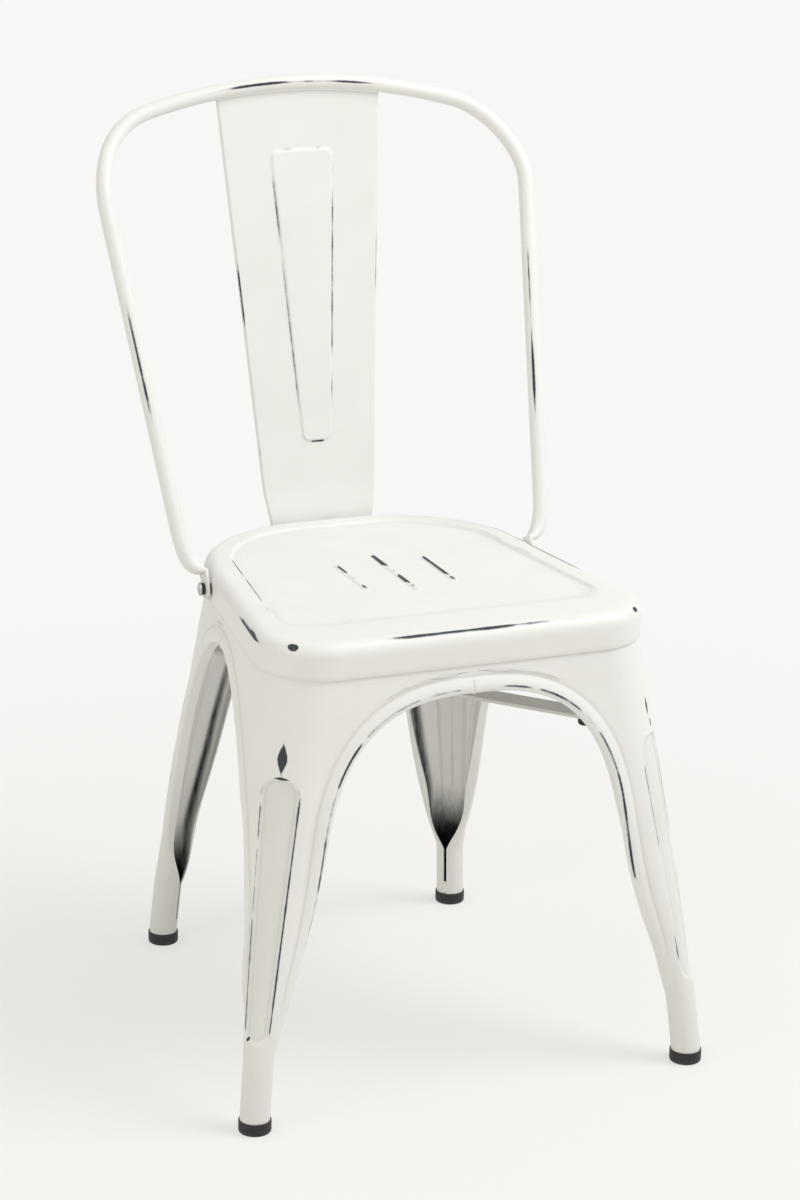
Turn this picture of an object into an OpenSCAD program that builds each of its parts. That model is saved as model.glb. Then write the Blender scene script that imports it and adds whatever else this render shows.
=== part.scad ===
// Stacking cafe chair of pressed sheet steel, painted white over a dark base coat.
// X runs across the chair, the front faces -Y, and Z is up from the floor.

/* [Seat] */
// Height of the seat rim above the floor
seat_h = 440; // [410:5:480]
// Width of the seat across its front corners
seat_w = 371; // [330:1:430]
// Depth of the seat from front edge to rear edge
seat_d = 378; // [340:1:430]
// Corner radius at the front of the seat, in plan
seat_front_r = 58; // [45:1:70]
// Corner radius at the rear of the seat, in plan
seat_rear_r = 127; // [105:1:140]
// Width of the straight stretch between the two rear corners
seat_rear_flat = 66; // [40:1:120]
// Height of the pressed skirt, rim included
skirt_h = 33; // [28:1:45]
// Radius of the rolled rim
rim_r = 13; // [8:1:16]
// Width of the raised border at the sides and rear
border_side = 24; // [18:1:34]
// Width of the raised border at the front
border_front = 52; // [30:1:70]
// Depth of the pressed recess inside the border
recess_depth = 3; // [1:0.5:6]
// Length of the two outer pressed ribs
rib_len = 84; // [50:1:110]
// Length of the middle pressed rib
rib_mid_len = 118; // [70:1:150]
// Width of a rib
rib_w = 7; // [4:0.5:12]
// Height of a rib above the recess floor
rib_h = 1.6; // [1:0.1:3]
// Spacing of the ribs
rib_pitch = 44; // [30:1:60]

/* [Sheet] */
// Thickness of the sheet steel
sheet_t = 1.2; // [0.8:0.1:2]
// Clearance between sheets that lie on each other
seam_gap = 0.3; // [0.2:0.05:0.6]

/* [Legs] */
// Distance between the middles of the two front feet
front_foot_span = 430; // [380:1:490]
// Distance between the middles of the two rear feet
rear_foot_span = 315; // [270:1:370]
// Distance from the seat's middle forward to the front feet
front_foot_y = 216; // [190:1:250]
// Distance from the seat's middle back to the rear feet
rear_foot_y = 216; // [190:1:250]
// Radius of the round foot of each leg
foot_r = 13.8; // [11:0.2:17]
// Height of the top edge of the arches, at the crest of the bead
arch_h = 387; // [350:1:395]
// Half width of the front arch where it turns down
front_arch_w = 126; // [100:1:140]
// Half width of the rear arch where it turns down
rear_arch_w = 73; // [50:1:85]
// Reach of the side arch towards the front
side_arch_front = 100; // [80:1:115]
// Reach of the side arch towards the rear
side_arch_rear = 106; // [85:1:115]
// Height the bead stands out of the sheet
bead_h = 3.5; // [1.5:0.5:5]
// Width of the bead from its toe to its crest
bead_w = 10; // [6:1:14]
// Depth of the flange turned in behind the bead
flange_d = 8; // [4:1:12]
// Height at which the leg closes into a round foot
slit_top = 64; // [50:1:74]
// Height at which the welded part of the foot ends and the slit starts
slit_bottom = 26; // [16:1:40]
// Height of the lower end of the pressed channel
channel_bottom = 84; // [76:1:100]
// Height of the upper end of the pressed channel
channel_top = 320; // [260:1:330]
// Half width of the channel at its lower end
channel_low_w = 13; // [8:0.5:14]
// Half width of the channel at its upper end
channel_high_w = 20; // [14:0.5:24]
// Depth of the channel
channel_depth = 3; // [1:0.5:4]

/* [Back] */
// Height of the hoop's highest point above the floor
back_h = 863; // [800:2:920]
// Distance between the hoop's sides where they leave the seat
hoop_low_w = 371; // [340:1:420]
// Distance between the hoop's sides at their widest
hoop_high_w = 431; // [390:1:470]
// Outer diameter of the hoop's tube
hoop_tube_d = 15; // [12:0.5:20]
// Wall of the hoop's tube
hoop_wall = 1.5; // [1:0.1:2.5]
// Radius of the hoop's two top corners
hoop_corner_r = 82; // [60:1:110]
// Radius of the hoop's top rail
hoop_top_r = 550; // [450:10:900]
// Backward lean of the hoop in degrees
hoop_lean = 23; // [16:0.5:28]
// Amount that the top rail bows back between the corners
hoop_bow = 25; // [0:1:35]
// Distance of the hoop's bolts behind the seat's middle
hoop_bolt_y = 60; // [40:1:80]
// Width of the splat at the top
splat_top_w = 168; // [140:1:200]
// Width of the splat at its lower bend
splat_low_w = 117; // [90:1:130]
// Height of the lower bend above the seat rim
splat_bend_h = 28; // [20:1:45]
// Height of the panel pressed into the splat
panel_h = 286; // [200:1:300]
// Width of the pressed panel at its top
panel_top_w = 66; // [40:1:90]
// Width of the pressed panel at its foot
panel_low_w = 31; // [20:1:50]
// Depth of the pressed panel's step
panel_step = 1.6; // [0.8:0.1:3]

/* [Fittings] */
// Wall of the rubber cap on a foot
cap_wall = 1.0; // [1:0.1:4]
// Height of the rubber cap
cap_h = 12; // [9:1:20]
// Rubber under the end of the foot
cap_floor = 3; // [2:0.5:5]
// Clearance between the cap and the foot
cap_gap = 0.2; // [0.1:0.1:0.6]
// Width of the strips of the cross brace
brace_w = 26; // [18:1:32]
// Thickness of the strips of the cross brace
brace_t = 3; // [2:0.5:4]
// Height of the brace's lower face above the floor
brace_z = 326; // [318:1:360]
// Diameter of the stacking bumpers
bumper_d = 15; // [10:1:20]
// Height of the stacking bumpers
bumper_h = 9; // [5:1:14]
// Thread diameter of the bolts
bolt_d = 6; // [5:0.5:8]
// Diameter of a bolt's round head
bolt_head_d = 13; // [10:0.5:16]
// Height of a bolt's round head
bolt_head_h = 3.4; // [2:0.2:5]
// Clearance round a bolt in its holes
bolt_gap = 0.25; // [0.15:0.05:0.5]

/* [Hidden] */
facets = 12;
round_fn = 48;
overlap = 1;

// Seat outline: corner circles and the angle of the side's normal.
front_corner = [seat_w / 2 - seat_front_r, -seat_d / 2 + seat_front_r];
rear_corner = [seat_rear_flat / 2, seat_d / 2 - seat_rear_r];
corner_line = rear_corner - front_corner;
side_angle = atan2(corner_line.y, corner_line.x)
    - acos((seat_front_r - seat_rear_r) / norm(corner_line));
recess_corner = front_corner
    + (border_front - border_side) * [-tan(side_angle), 1];
recess_wall = 5;
skirt_z = seat_h - skirt_h;
floor_z = seat_h - recess_depth;
leg_inset = sheet_t + seam_gap;
leg_top = seat_h - rim_r - 15;

// Outer face of the skirt's side at a distance y behind the seat's middle.
function side_x(y) = front_corner.x
    + (seat_front_r - (y - front_corner.y) * sin(side_angle)) / cos(side_angle);

// Hoop: a leaning plane through the two bolts, with lengths up the lean.
tab_t = 3;
spacer_t = 3;
spacer_d = 10;
cushion_t = 3;
cushion_d = 11;
tab_w = 20;
tab_len = 17;
hoop_bolt_z = seat_h - rim_r - 6.2;
hoop_bolt = [side_x(hoop_bolt_y), hoop_bolt_y, hoop_bolt_z];
hoop_foot_x = hoop_bolt.x + spacer_t + tab_t / 2;
hoop_low_l = 56;
hoop_bend_l = 18;
hoop_top_l = (back_h - hoop_tube_d / 2 - hoop_bolt_z) / cos(hoop_lean);
hoop_corner_x = hoop_high_w / 2 - hoop_corner_r;
hoop_corner_l = hoop_top_l - hoop_top_r
    + sqrt(pow(hoop_top_r - hoop_corner_r, 2) - pow(hoop_corner_x, 2));
hoop_side_low = [hoop_low_w / 2, hoop_low_l];
hoop_to_corner = [hoop_corner_x, hoop_corner_l] - hoop_side_low;
hoop_side_a = atan2(hoop_to_corner.y, hoop_to_corner.x)
    - acos(-hoop_corner_r / norm(hoop_to_corner));
hoop_top_a = atan2(hoop_corner_l - (hoop_top_l - hoop_top_r), hoop_corner_x);

// Outer diameter of a rubber cap.
cap_d = 2 * (foot_r + cap_gap + cap_wall);

// The chair's middle, front to back, is the frame's origin.
rear_most = hoop_bolt_y + hoop_top_l * sin(hoop_lean) + hoop_bow + hoop_tube_d / 2;
front_most = -front_foot_y - cap_d / 2;
middle_y = (rear_most + front_most) / 2;

// Splat: a vertical foot behind the seat, a short slope, and the leaning sheet.
splat_foot_y = seat_d / 2 + seam_gap;
splat_foot_low = seat_h - rim_r - 13;
splat_foot_high = seat_h + 1;
splat_bend_y = splat_foot_y + 8;
splat_bend_z = seat_h + splat_bend_h;
splat_hem = 5;
splat_bolt_x = 26;
splat_bolt_z = splat_foot_low + 6.5;
panel_low_gap = 45;

// Bolts: length under the head through what they clamp.
washer_t = 1.2;
washer_d = 12;
nut_t = 5;
nut_flats = 10;
nut_d = nut_flats / cos(30);

// Leg data: foot [x, e], virtual corner at the seat [x, e], normal angle of the
// side, top corner radius, how fast the radius grows, end arch, side arch. The
// distance e runs from the seat's middle towards the leg's own end of the chair.
// An arch is its reach, flare per mm, shoulder height, roundness and toe kick.
end_shoulder = 250;
function corner_tip(c, r, a) = [c.x + r * (1 - sin(a)) / cos(a), c.y + r];
front_tip = corner_tip([front_corner.x, -front_corner.y],
    seat_front_r - leg_inset, -side_angle);
rear_tip = corner_tip(rear_corner, seat_rear_r - leg_inset, side_angle);
FRONT_LEG = [[front_foot_span / 2, front_foot_y], front_tip, -side_angle,
    seat_front_r - leg_inset, 1.1,
    [front_arch_w, 0.17, end_shoulder, 2.7, 0.00087],
    [side_arch_front, 0.42, 150, 2.1, 0]];
REAR_LEG = [[rear_foot_span / 2, rear_foot_y], rear_tip, side_angle,
    seat_rear_r - leg_inset, 1.1,
    [rear_arch_w, 0.2, end_shoulder, 2.5, 0.0002],
    [side_arch_rear, 0.3, 200, 2.4, 0]];

foot_straight = cap_h + 2;
open_z = 150;
kick_z = 220;
channel_wall = 3;
curl_top = 280;
least_leg = 26.5;
limit_soft = 6;
function mix(a, b, t) = a + (b - a) * t;
function clamp01(t) = min(1, max(0, t));
function smooth(t) = let (c = clamp01(t)) c * c * (3 - 2 * c);
function unit(v) = v / max(norm(v), 1e-9);

// Corner of the leg at height z: tip, radius, and centre of the corner arc.
function rise(z) = clamp01((z - foot_straight) / (skirt_z - foot_straight));
function tip(leg, z) = mix(corner_tip(leg[0], foot_r, leg[2]), leg[1], rise(z));
function radius(leg, z) = mix(foot_r, leg[3],
    pow(clamp01((z - slit_top) / (skirt_z - slit_top)), leg[4]));
function centre(leg, z) = let (k = tip(leg, z), r = radius(leg, z), a = leg[2])
    [k.x - r * (1 - sin(a)) / cos(a), k.y - r];

// Section of the leg at height z, s along the sheet from the corner's middle.
// side is 1 towards the end face and -1 towards the side face. From curl_top down the
// arms curl in, until at slit_top they meet and the section is a round tube.
function open_part(z) = smooth((z - slit_top) / (open_z - slit_top));
function curl_part(z) = 1 - clamp01((z - slit_top) / (curl_top - slit_top));
function half_turn(leg, side) = side > 0 ? 45 : 45 - leg[2];
// An arch leaves the leg a least width low down. The two lines blend where they cross.
function soft_min(a, b) = min(a, b) - pow(max(limit_soft - abs(a - b), 0), 2) / (4 * limit_soft);
function section_point(leg, z, s, side, off = 0) =
    let (r = radius(leg, z), h = half_turn(leg, side), turned = min(s / r * 180 / PI, h),
        run = max(0, s - r * h * PI / 180),
        bend = curl_part(z) * run / foot_r * 180 / PI,
        chord = bend > 0.1 ? 2 * run / (bend * PI / 180) * sin(bend / 2) : run,
        a = 45 + side * turned, m = a + side * bend / 2, e = a + side * bend,
        p = centre(leg, z) + r * [cos(a), sin(a)] + chord * side * [-sin(m), cos(m)]
            + off * [cos(e), sin(e)])
    [p.x, p.y, z];
// Length along the sheet at which x (end face) or e (side face) has value v.
function length_at(leg, z, v, side) =
    let (r = radius(leg, z), c = centre(leg, z), h = half_turn(leg, side),
        a = 45 + side * h, edge = c + r * [cos(a), sin(a)],
        over = side > 0 ? (edge.x - v) : (edge.y - v) / cos(leg[2]),
        back = side > 0 ? acos(clamp01((v - c.x) / r)) - 45
            : 45 - asin(min(1, (v - c.y) / r)))
    over >= 0 ? r * h * PI / 180 + over : r * back * PI / 180;

// Arch: the crest of its bead, as [reach, height], for a height or an angle.
function arch_reach(a, z) = let (t = clamp01((z - a[2]) / (arch_h - a[2])))
    a[0] * pow(1 - pow(t, a[3]), 1 / a[3]) + a[1] * (arch_h - z)
    + a[4] * pow(max(0, kick_z - z), 2);
function arch_start(a) = asin(pow((end_shoulder - a[2]) / (arch_h - a[2]), a[3] / 2));
function arch_high(a, f) = let (t = mix(arch_start(a), 90, f),
    z = a[2] + (arch_h - a[2]) * pow(sin(t), 2 / a[3]))
    [f == 1 ? 0 : arch_reach(a, z), z];

// Rows of a leg, each [height at the corner, straight height or arch fraction].
low_rows = [cap_floor, foot_straight, slit_bottom - 1, slit_bottom, slit_top,
    channel_bottom, each [for (f = [0, 0.12, 0.24, 0.4, 0.6, 0.8, 1])
        mix(channel_bottom + channel_wall, end_shoulder, f)]];
arch_n = 8;
high_rows = concat([for (i = [1:3]) mix(end_shoulder, channel_top - channel_wall, i / 3)],
    [channel_top], [for (i = [1:4]) mix(channel_top, arch_h + 2, i / 4)]);
top_rows = [skirt_z - 0.5, leg_top];
row_z = concat(low_rows, high_rows, top_rows);
apex_row = len(low_rows) + arch_n - 1;
last_row = len(row_z) - 1;
function crest(a, j, most) = j < len(low_rows) ? [soft_min(arch_reach(a, row_z[j]), most), row_z[j]]
    : j <= apex_row ? arch_high(a, (j - len(low_rows) + 1) / arch_n) : [0, row_z[j]];
function crest_normal(a, j, most) = j >= apex_row ? [0, 1]
    : let (t = unit(crest(a, j + 1, most) - crest(a, max(0, j - 1), most))) [t.y, -t.x];

// Bead across the arch's edge, from toe to flange: [distance, height].
bead = [[bead_w, 0], [0.6 * bead_w, 0.55 * bead_h], [0.2 * bead_w, bead_h],
    [-2, 0.85 * bead_h], [-5, 0], [-5.6, -flange_d]];
// Columns from the corner's middle: channel floor, channel edge, sheet, bead.
floor_columns = 3;
edge_column = floor_columns;
sheet_steps = [0.2, 0.4, 0.6, 0.8];
first_bead = edge_column + 1 + len(sheet_steps);
half_columns = first_bead + len(bead) - 1;
slit_gap = 1.6;
weld_gap = 0.5;

function channel_half(z) = mix(channel_low_w, channel_high_w,
    clamp01((z - channel_bottom) / (channel_top - channel_bottom)));
function channel_edge(leg, z) = min(radius(leg, z) * 0.8, channel_half(z));
function channel_at(leg, z, k) = let (w = channel_edge(leg, z))
    k == edge_column ? w : (w - channel_wall) * k / (floor_columns - 1);
function in_channel(z) = z > channel_bottom + 0.1 && z < channel_top - 0.1;
function closed_at(leg, z, k) = let (from = channel_edge(leg, z))
    mix(from, PI * foot_r - (z < slit_bottom - 0.5 ? weld_gap : slit_gap),
        (k - edge_column) / (half_columns - edge_column));
function leg_point(leg, j, k, side) =
    let (arch = side > 0 ? leg[5] : leg[6], zc = row_z[j], c = centre(leg, zc),
        most = (side > 0 ? c.x : c.y) + radius(leg, zc) - least_leg,
        edge = crest(arch, j, most),
        n = crest_normal(arch, j, most), above = j > apex_row, w = open_part(zc),
        step = above ? bead[0] : bead[max(0, k - first_bead)],
        at = above ? edge : edge + step[0] * n,
        s_end = length_at(leg, at.y, at.x, side), s_edge = channel_edge(leg, zc),
        g = k < first_bead ? sheet_steps[k - edge_column - 1] : 1)
    k <= edge_column ? section_point(leg, zc, channel_at(leg, zc, k), side,
        k < edge_column && in_channel(zc) ? -channel_depth : 0)
        : section_point(leg, mix(zc, mix(zc, at.y, g), w),
            mix(closed_at(leg, zc, k), mix(s_edge, s_end, g), w), side, w * step[1]);
function leg_grid(leg) = [for (j = [0:last_row]) [for (i = [-half_columns:half_columns])
    leg_point(leg, j, abs(i), i < 0 ? -1 : 1)]];

// The leg as a closed sheet behind its grid of points. Above the arches' crests the
// columns of the bead stop, so the cells at both edges are left out from row cut up.
function cell_present(j, i, rows, trim, cut) =
    j >= 0 && j < rows - 1 && i >= 0 && i < 2 * half_columns
    && !(j >= cut && (i < trim || i >= 2 * half_columns - trim));
module leg_sheet(leg) {
    grid = leg_grid(leg);
    rows = len(grid);
    columns = len(grid[0]);
    trim = len(bead) - 1;
    function next_row(j, i) = (i < trim || i >= columns - trim)
        ? min(j + 1, max(j, apex_row)) : min(j + 1, rows - 1);
    function normal(j, i) =
        let (up = grid[next_row(j, i)][i] - grid[max(0, j - 1)][i],
            across = grid[j][min(i + 1, columns - 1)] - grid[j][max(0, i - 1)],
            n = unit(cross(across, up)),
            at_side = j >= apex_row && i <= trim,
            at_end = j >= apex_row && i >= columns - 1 - trim)
        at_end ? unit([0, n.y, n.z]) : at_side ? unit([n.x, 0, n.z]) : n;
    outer = [for (j = [0:rows - 1]) for (i = [0:columns - 1]) grid[j][i]];
    inner = [for (j = [0:rows - 1]) for (i = [0:columns - 1])
        grid[j][i] - sheet_t * normal(j, i)];
    total = rows * columns;
    function at(j, i) = j * columns + i;
    function present(j, i) = cell_present(j, i, rows, trim, apex_row);
    faces = [for (j = [0:rows - 2]) for (i = [0:columns - 2]) if (present(j, i))
        let (a = at(j, i), b = at(j, i + 1), c = at(j + 1, i + 1), d = at(j + 1, i))
        each concat([[a, d, c], [a, c, b],
            [total + a, total + c, total + d], [total + a, total + b, total + c]],
            present(j - 1, i) ? [] : [[a, b, total + b], [a, total + b, total + a]],
            present(j + 1, i) ? [] : [[c, d, total + d], [c, total + d, total + c]],
            present(j, i - 1) ? [] : [[d, a, total + a], [d, total + a, total + d]],
            present(j, i + 1) ? [] : [[b, c, total + c], [b, total + c, total + b]])];
    polyhedron(concat(outer, inner), faces, convexity = 8);
}

// Rings of the seat pan, from half outlines mirrored across the middle.
function arc_points(c, r, from, to, n) = [for (i = [0:n])
    let (a = mix(from, to, i / n)) c + r * [cos(a), sin(a)]];
function half_outline(fc, fr, rc, rr) = concat(
    [for (i = [0:3]) [fc.x * i / 4, fc.y - fr]],
    arc_points(fc, fr, -90, side_angle, 14),
    arc_points(rc, rr, side_angle, 90, 16),
    [for (i = [2:-1:0]) [rc.x * i / 3, rc.y + rr]]);
function ring(half, z) = let (n = len(half)) [for (i = [0:2 * n - 3])
    i < n ? [half[i].x, half[i].y, z] : [-half[2 * n - 2 - i].x, half[2 * n - 2 - i].y, z]];
function seat_ring(inset, z) = ring(half_outline(front_corner, seat_front_r - inset,
    rear_corner, seat_rear_r - inset), z);
function recess_ring(inset, z) = ring(half_outline(recess_corner,
    seat_front_r - border_side - inset, rear_corner, seat_rear_r - border_side - inset), z);
module pan_sheet() {
    bends = [0, 30, 60, 90];
    upper = concat([recess_ring(recess_wall, floor_z), recess_ring(0, seat_h)],
        [for (a = [90, 60, 30, 0]) seat_ring(rim_r * (1 - cos(a)), seat_h - rim_r * (1 - sin(a)))],
        [seat_ring(0, skirt_z), seat_ring(sheet_t, skirt_z)]);
    under_r = rim_r - sheet_t;
    lower = concat([for (a = bends)
        seat_ring(sheet_t + under_r * (1 - cos(a)), seat_h - rim_r + under_r * sin(a))],
        [recess_ring(0.5, seat_h - sheet_t), recess_ring(recess_wall + 0.5, floor_z - sheet_t)]);
    rings = concat(upper, lower);
    n = len(rings[0]);
    faces = [for (j = [0:len(rings) - 2]) for (i = [0:n - 1])
        let (a = j * n + i, b = j * n + (i + 1) % n) each [[a, b, b + n], [a, b + n, a + n]]];
    middles = [for (z = [floor_z, floor_z - sheet_t]) [rib_pitch / 2, 0, z]];
    m = n * len(rings);
    caps = [for (i = [0:n - 1]) let (k = (i + 1) % n, b = m - n)
        each [[m, k, i], [m + 1, b + i, b + k]]];
    polyhedron(concat([for (r = rings) each r], middles), concat(faces, caps), convexity = 6);
}
module rib(length, x) {
    for (step = [0, 1])
        translate([x, 0, floor_z - sheet_t / (2 + step)])
            linear_extrude(sheet_t / (2 + step) + rib_h * (0.6 + 0.4 * step))
                for (part = [0, 1, 2])
                    if (part == 0) square([rib_w - 2 * step, length - rib_w], center = true);
                    else translate([0, (part - 1.5) * (length - rib_w)])
                        circle(d = rib_w - 2 * step, $fn = 24);
}
module in_frame() {
    translate([0, -middle_y, 0]) children();
}
// The axis of a hoop bolt points out of the seat's side, and local Z runs up
// the lean of the hoop.
module at_hoop_bolt(side) {
    mirror([side < 0 ? 1 : 0, 0, 0]) translate(hoop_bolt)
        rotate([0, 0, side_angle]) rotate([-hoop_lean, 0, 0]) children();
}
// The axis of a splat bolt points to the rear, out of the splat's foot.
module at_splat_bolt(side) {
    translate([side * splat_bolt_x, seat_d / 2, splat_bolt_z]) rotate([0, 0, 90]) children();
}
module along_axis(from, length, d, fn = round_fn) {
    translate([from, 0, 0]) rotate([0, 90, 0]) cylinder(h = length, d = d, $fn = fn);
}

module seat_pan() {
    color("white") in_frame() difference() {
        union() {
            pan_sheet();
            for (x = [-rib_pitch, rib_pitch]) rib(rib_len, x);
            rib(rib_mid_len, 0);
        }
        for (side = [-1, 1]) {
            at_hoop_bolt(side) along_axis(-4 * sheet_t, 8 * sheet_t, bolt_d + 2 * bolt_gap);
            at_splat_bolt(side) along_axis(-4 * sheet_t, 8 * sheet_t, bolt_d + 2 * bolt_gap);
        }
    }
}
module leg(data, side, to_front) {
    color("white") in_frame()
        mirror([side < 0 ? 1 : 0, 0, 0]) mirror([0, to_front ? 1 : 0, 0]) leg_sheet(data);
}

// Path of the hoop's right half, as [x, length up the lean].
function curve_point(a, b, c, t) = (1 - t) * (1 - t) * a + 2 * t * (1 - t) * b + t * t * c;
hoop_side_dir = [-sin(hoop_side_a), cos(hoop_side_a)];
hoop_half = concat(
    [for (i = [0:5]) curve_point([hoop_foot_x, tab_len],
        hoop_side_low - (hoop_low_l - hoop_bend_l) * hoop_side_dir,
        hoop_side_low, i / 5)],
    arc_points([hoop_corner_x, hoop_corner_l], hoop_corner_r, hoop_side_a, hoop_top_a, 7),
    [for (p = arc_points([0, hoop_top_l - hoop_top_r], hoop_top_r, hoop_top_a, 90, 7))
        if (p.x < hoop_top_r * cos(hoop_top_a) - overlap) p]);
hoop_path = concat(hoop_half,
    [for (i = [len(hoop_half) - 2:-1:0]) [-hoop_half[i].x, hoop_half[i].y]]);
function hoop_bow_at(p) = p.y < hoop_corner_l ? 0
    : hoop_bow * max(0, 1 - pow(p.x / (hoop_high_w / 2), 12));
function hoop_place(p) = [p.x, hoop_bolt_y + p.y * sin(hoop_lean) + hoop_bow_at(p),
    hoop_bolt_z + p.y * cos(hoop_lean)];
function tube_ring(path, i, r) =
    let (n = len(path), along = unit(path[min(i + 1, n - 1)] - path[max(i - 1, 0)]),
        lean = [0, cos(hoop_lean), -sin(hoop_lean)],
        out = unit(cross(along, lean)), back = cross(out, along))
    [for (k = [0:facets - 1]) let (a = 360 * k / facets)
        path[i] + r * (cos(a) * out + sin(a) * back)];
module hoop_tube() {
    path = [for (p = hoop_path) hoop_place(p)];
    n = len(path);
    skin = [for (i = [0:n - 1]) each tube_ring(path, i, hoop_tube_d / 2)];
    bore = [for (i = [0:n - 1]) each tube_ring(path, i, hoop_tube_d / 2 - hoop_wall)];
    total = n * facets;
    sides = [for (i = [0:n - 2]) for (k = [0:facets - 1])
        let (a = i * facets + k, b = i * facets + (k + 1) % facets, c = b + facets, d = a + facets)
        each [[a, b, c], [a, c, d], [total + a, total + c, total + b],
            [total + a, total + d, total + c]]];
    ends = [for (k = [0:facets - 1]) let (a = k, b = (k + 1) % facets, z = (n - 1) * facets)
        each [[a, total + a, total + b], [a, total + b, b],
            [z + a, z + b, total + z + b], [z + a, total + z + b, total + z + a]]];
    polyhedron(concat(skin, bore), concat(sides, ends), convexity = 10);
}
module hoop_tab() {
    tab_from = spacer_t;
    difference() {
        union() {
            along_axis(tab_from, tab_t, tab_w);
            translate([tab_from, -tab_w / 2, 0]) cube([tab_t, tab_w, tab_len - 5]);
            hull() {
                translate([tab_from, -tab_w / 2, tab_len - 7]) cube([tab_t, tab_w, 1]);
                translate([tab_from + tab_t / 2, 0, tab_len + 1])
                    cylinder(h = 2, d = hoop_tube_d - 0.6, $fn = 24);
            }
        }
        along_axis(tab_from - overlap, tab_t + 2 * overlap, bolt_d + 2 * bolt_gap);
    }
}
module back_hoop() {
    color("white") in_frame() {
        hoop_tube();
        for (side = [-1, 1]) at_hoop_bolt(side) hoop_tab();
    }
}

// Splat: rows from its foot to its top, columns from edge to edge.
function hoop_drop(x) = hoop_top_r - sqrt(pow(hoop_top_r, 2) - x * x);
function splat_top(x) = let (p = [x, hoop_top_l - hoop_drop(x)], h = hoop_place(p))
    [x, h.y, h.z] - (hoop_tube_d / 2 + seam_gap) * unit([0, h.y - splat_bend_y, h.z - splat_bend_z]);
function splat_up(x, t) = mix([x, splat_bend_y, splat_bend_z], splat_top(x), t);
splat_len = norm(splat_top(0) - [0, splat_bend_y, splat_bend_z]);
panel_from = panel_low_gap / splat_len;
panel_to = (panel_low_gap + panel_h) / splat_len;
splat_rows = [-1, -0.5, -0.25, 0, panel_from, panel_from + 0.008, 0.28, 0.5, 0.68,
    panel_to - 0.008, panel_to, 1];
function splat_half(t) = mix(splat_low_w, splat_top_w, max(t, 0)) / 2 + min(t, 0) * 9;
function panel_half(t) = mix(panel_low_w, panel_top_w,
    clamp01((t - panel_from) / (panel_to - panel_from))) / 2;
function splat_column(t, k) = let (w = splat_half(t), p = panel_half(t))
    [0, p / 2, p - 1.5, p, (p + w) / 2, w - 1, w, w - 0.4][k];
function splat_lift(t, k) = k == 7 ? -splat_hem : k == 6 ? -0.6
    : k < 3 && t > panel_from + 0.004 && t < panel_to - 0.004 ? panel_step : 0;
function splat_point(t, k, sign) = let (x = splat_column(t, k), lift = splat_lift(t, k))
    t >= 0 ? let (p = splat_up(x, t)) [sign * x, p.y - lift, p.z]
    : t == -0.25 ? [sign * x, splat_bend_y - 2 - lift, splat_bend_z - 8]
    : [sign * x, splat_foot_y - lift, t == -1 ? splat_foot_low : splat_foot_high];
module splat_sheet() {
    rows = len(splat_rows);
    columns = 15;
    grid = [for (t = splat_rows) [for (i = [-7:7])
        splat_point(t, abs(i), i < 0 ? -1 : 1)]];
    function normal(j, i) = unit(cross(
        grid[j][min(i + 1, columns - 1)] - grid[j][max(i - 1, 0)],
        grid[min(j + 1, rows - 1)][i] - grid[max(j - 1, 0)][i]));
    outer = [for (j = [0:rows - 1]) for (i = [0:columns - 1]) grid[j][i]];
    inner = [for (j = [0:rows - 1]) for (i = [0:columns - 1]) grid[j][i] - sheet_t * normal(j, i)];
    total = rows * columns;
    faces = [for (j = [0:rows - 2]) for (i = [0:columns - 2])
        let (a = j * columns + i, b = a + 1, c = b + columns, d = a + columns)
        each concat([[a, c, b], [a, d, c], [total + a, total + b, total + c],
            [total + a, total + c, total + d]],
            j > 0 ? [] : [[a, b, total + b], [a, total + b, total + a]],
            j < rows - 2 ? [] : [[c, d, total + d], [c, total + d, total + c]],
            i > 0 ? [] : [[d, a, total + a], [d, total + a, total + d]],
            i < columns - 2 ? [] : [[b, c, total + c], [b, total + c, total + b]])];
    polyhedron(concat(outer, inner), faces, convexity = 6);
}
module back_splat() {
    color("white") in_frame() difference() {
        splat_sheet();
        for (side = [-1, 1])
            at_splat_bolt(side) along_axis(-overlap, 4 * sheet_t, bolt_d + 2 * bolt_gap);
    }
}

// Cross brace: two strips between opposite corners, one lying on the other.
function leg_corner(data) = let (z = brace_z + 2 * brace_t,
    r = radius(data, z) - sheet_t - 3 * seam_gap)
    centre(data, z) + sqrt(r * r - brace_w * brace_w / 4) * [cos(45), sin(45)];
brace_front = leg_corner(FRONT_LEG);
brace_rear = leg_corner(REAR_LEG);
brace_from = [-brace_rear.x, brace_rear.y];
brace_to = [brace_front.x, -brace_front.y];
brace_dir = unit(brace_to - brace_from);
brace_turn = atan2(brace_dir.y, brace_dir.x);
brace_cross_y = brace_from.y - brace_from.x * brace_dir.y / brace_dir.x;
rivet_d = 8;
bumper_inset = 58;
module brace_strip(side, z) {
    mirror([side < 0 ? 1 : 0, 0, 0]) difference() {
        translate([brace_from.x, brace_from.y, z]) rotate([0, 0, brace_turn])
            translate([0, -brace_w / 2, 0]) cube([norm(brace_to - brace_from), brace_w, brace_t]);
        translate([0, brace_cross_y, z - overlap])
            cylinder(h = brace_t + 2 * overlap, d = rivet_d + 2 * bolt_gap, $fn = round_fn);
    }
}
module cross_brace_lower() {
    color("white") in_frame() brace_strip(1, brace_z);
}
module cross_brace_upper() {
    color("white") in_frame() brace_strip(-1, brace_z + brace_t);
}
module brace_rivet() {
    head = 1.6;
    color("silver") in_frame() translate([0, brace_cross_y, brace_z]) {
        cylinder(h = 2 * brace_t, d = rivet_d, $fn = round_fn);
        for (z = [-head, 2 * brace_t])
            translate([0, 0, z]) cylinder(h = head, d = 1.8 * rivet_d, $fn = round_fn);
    }
}
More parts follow.
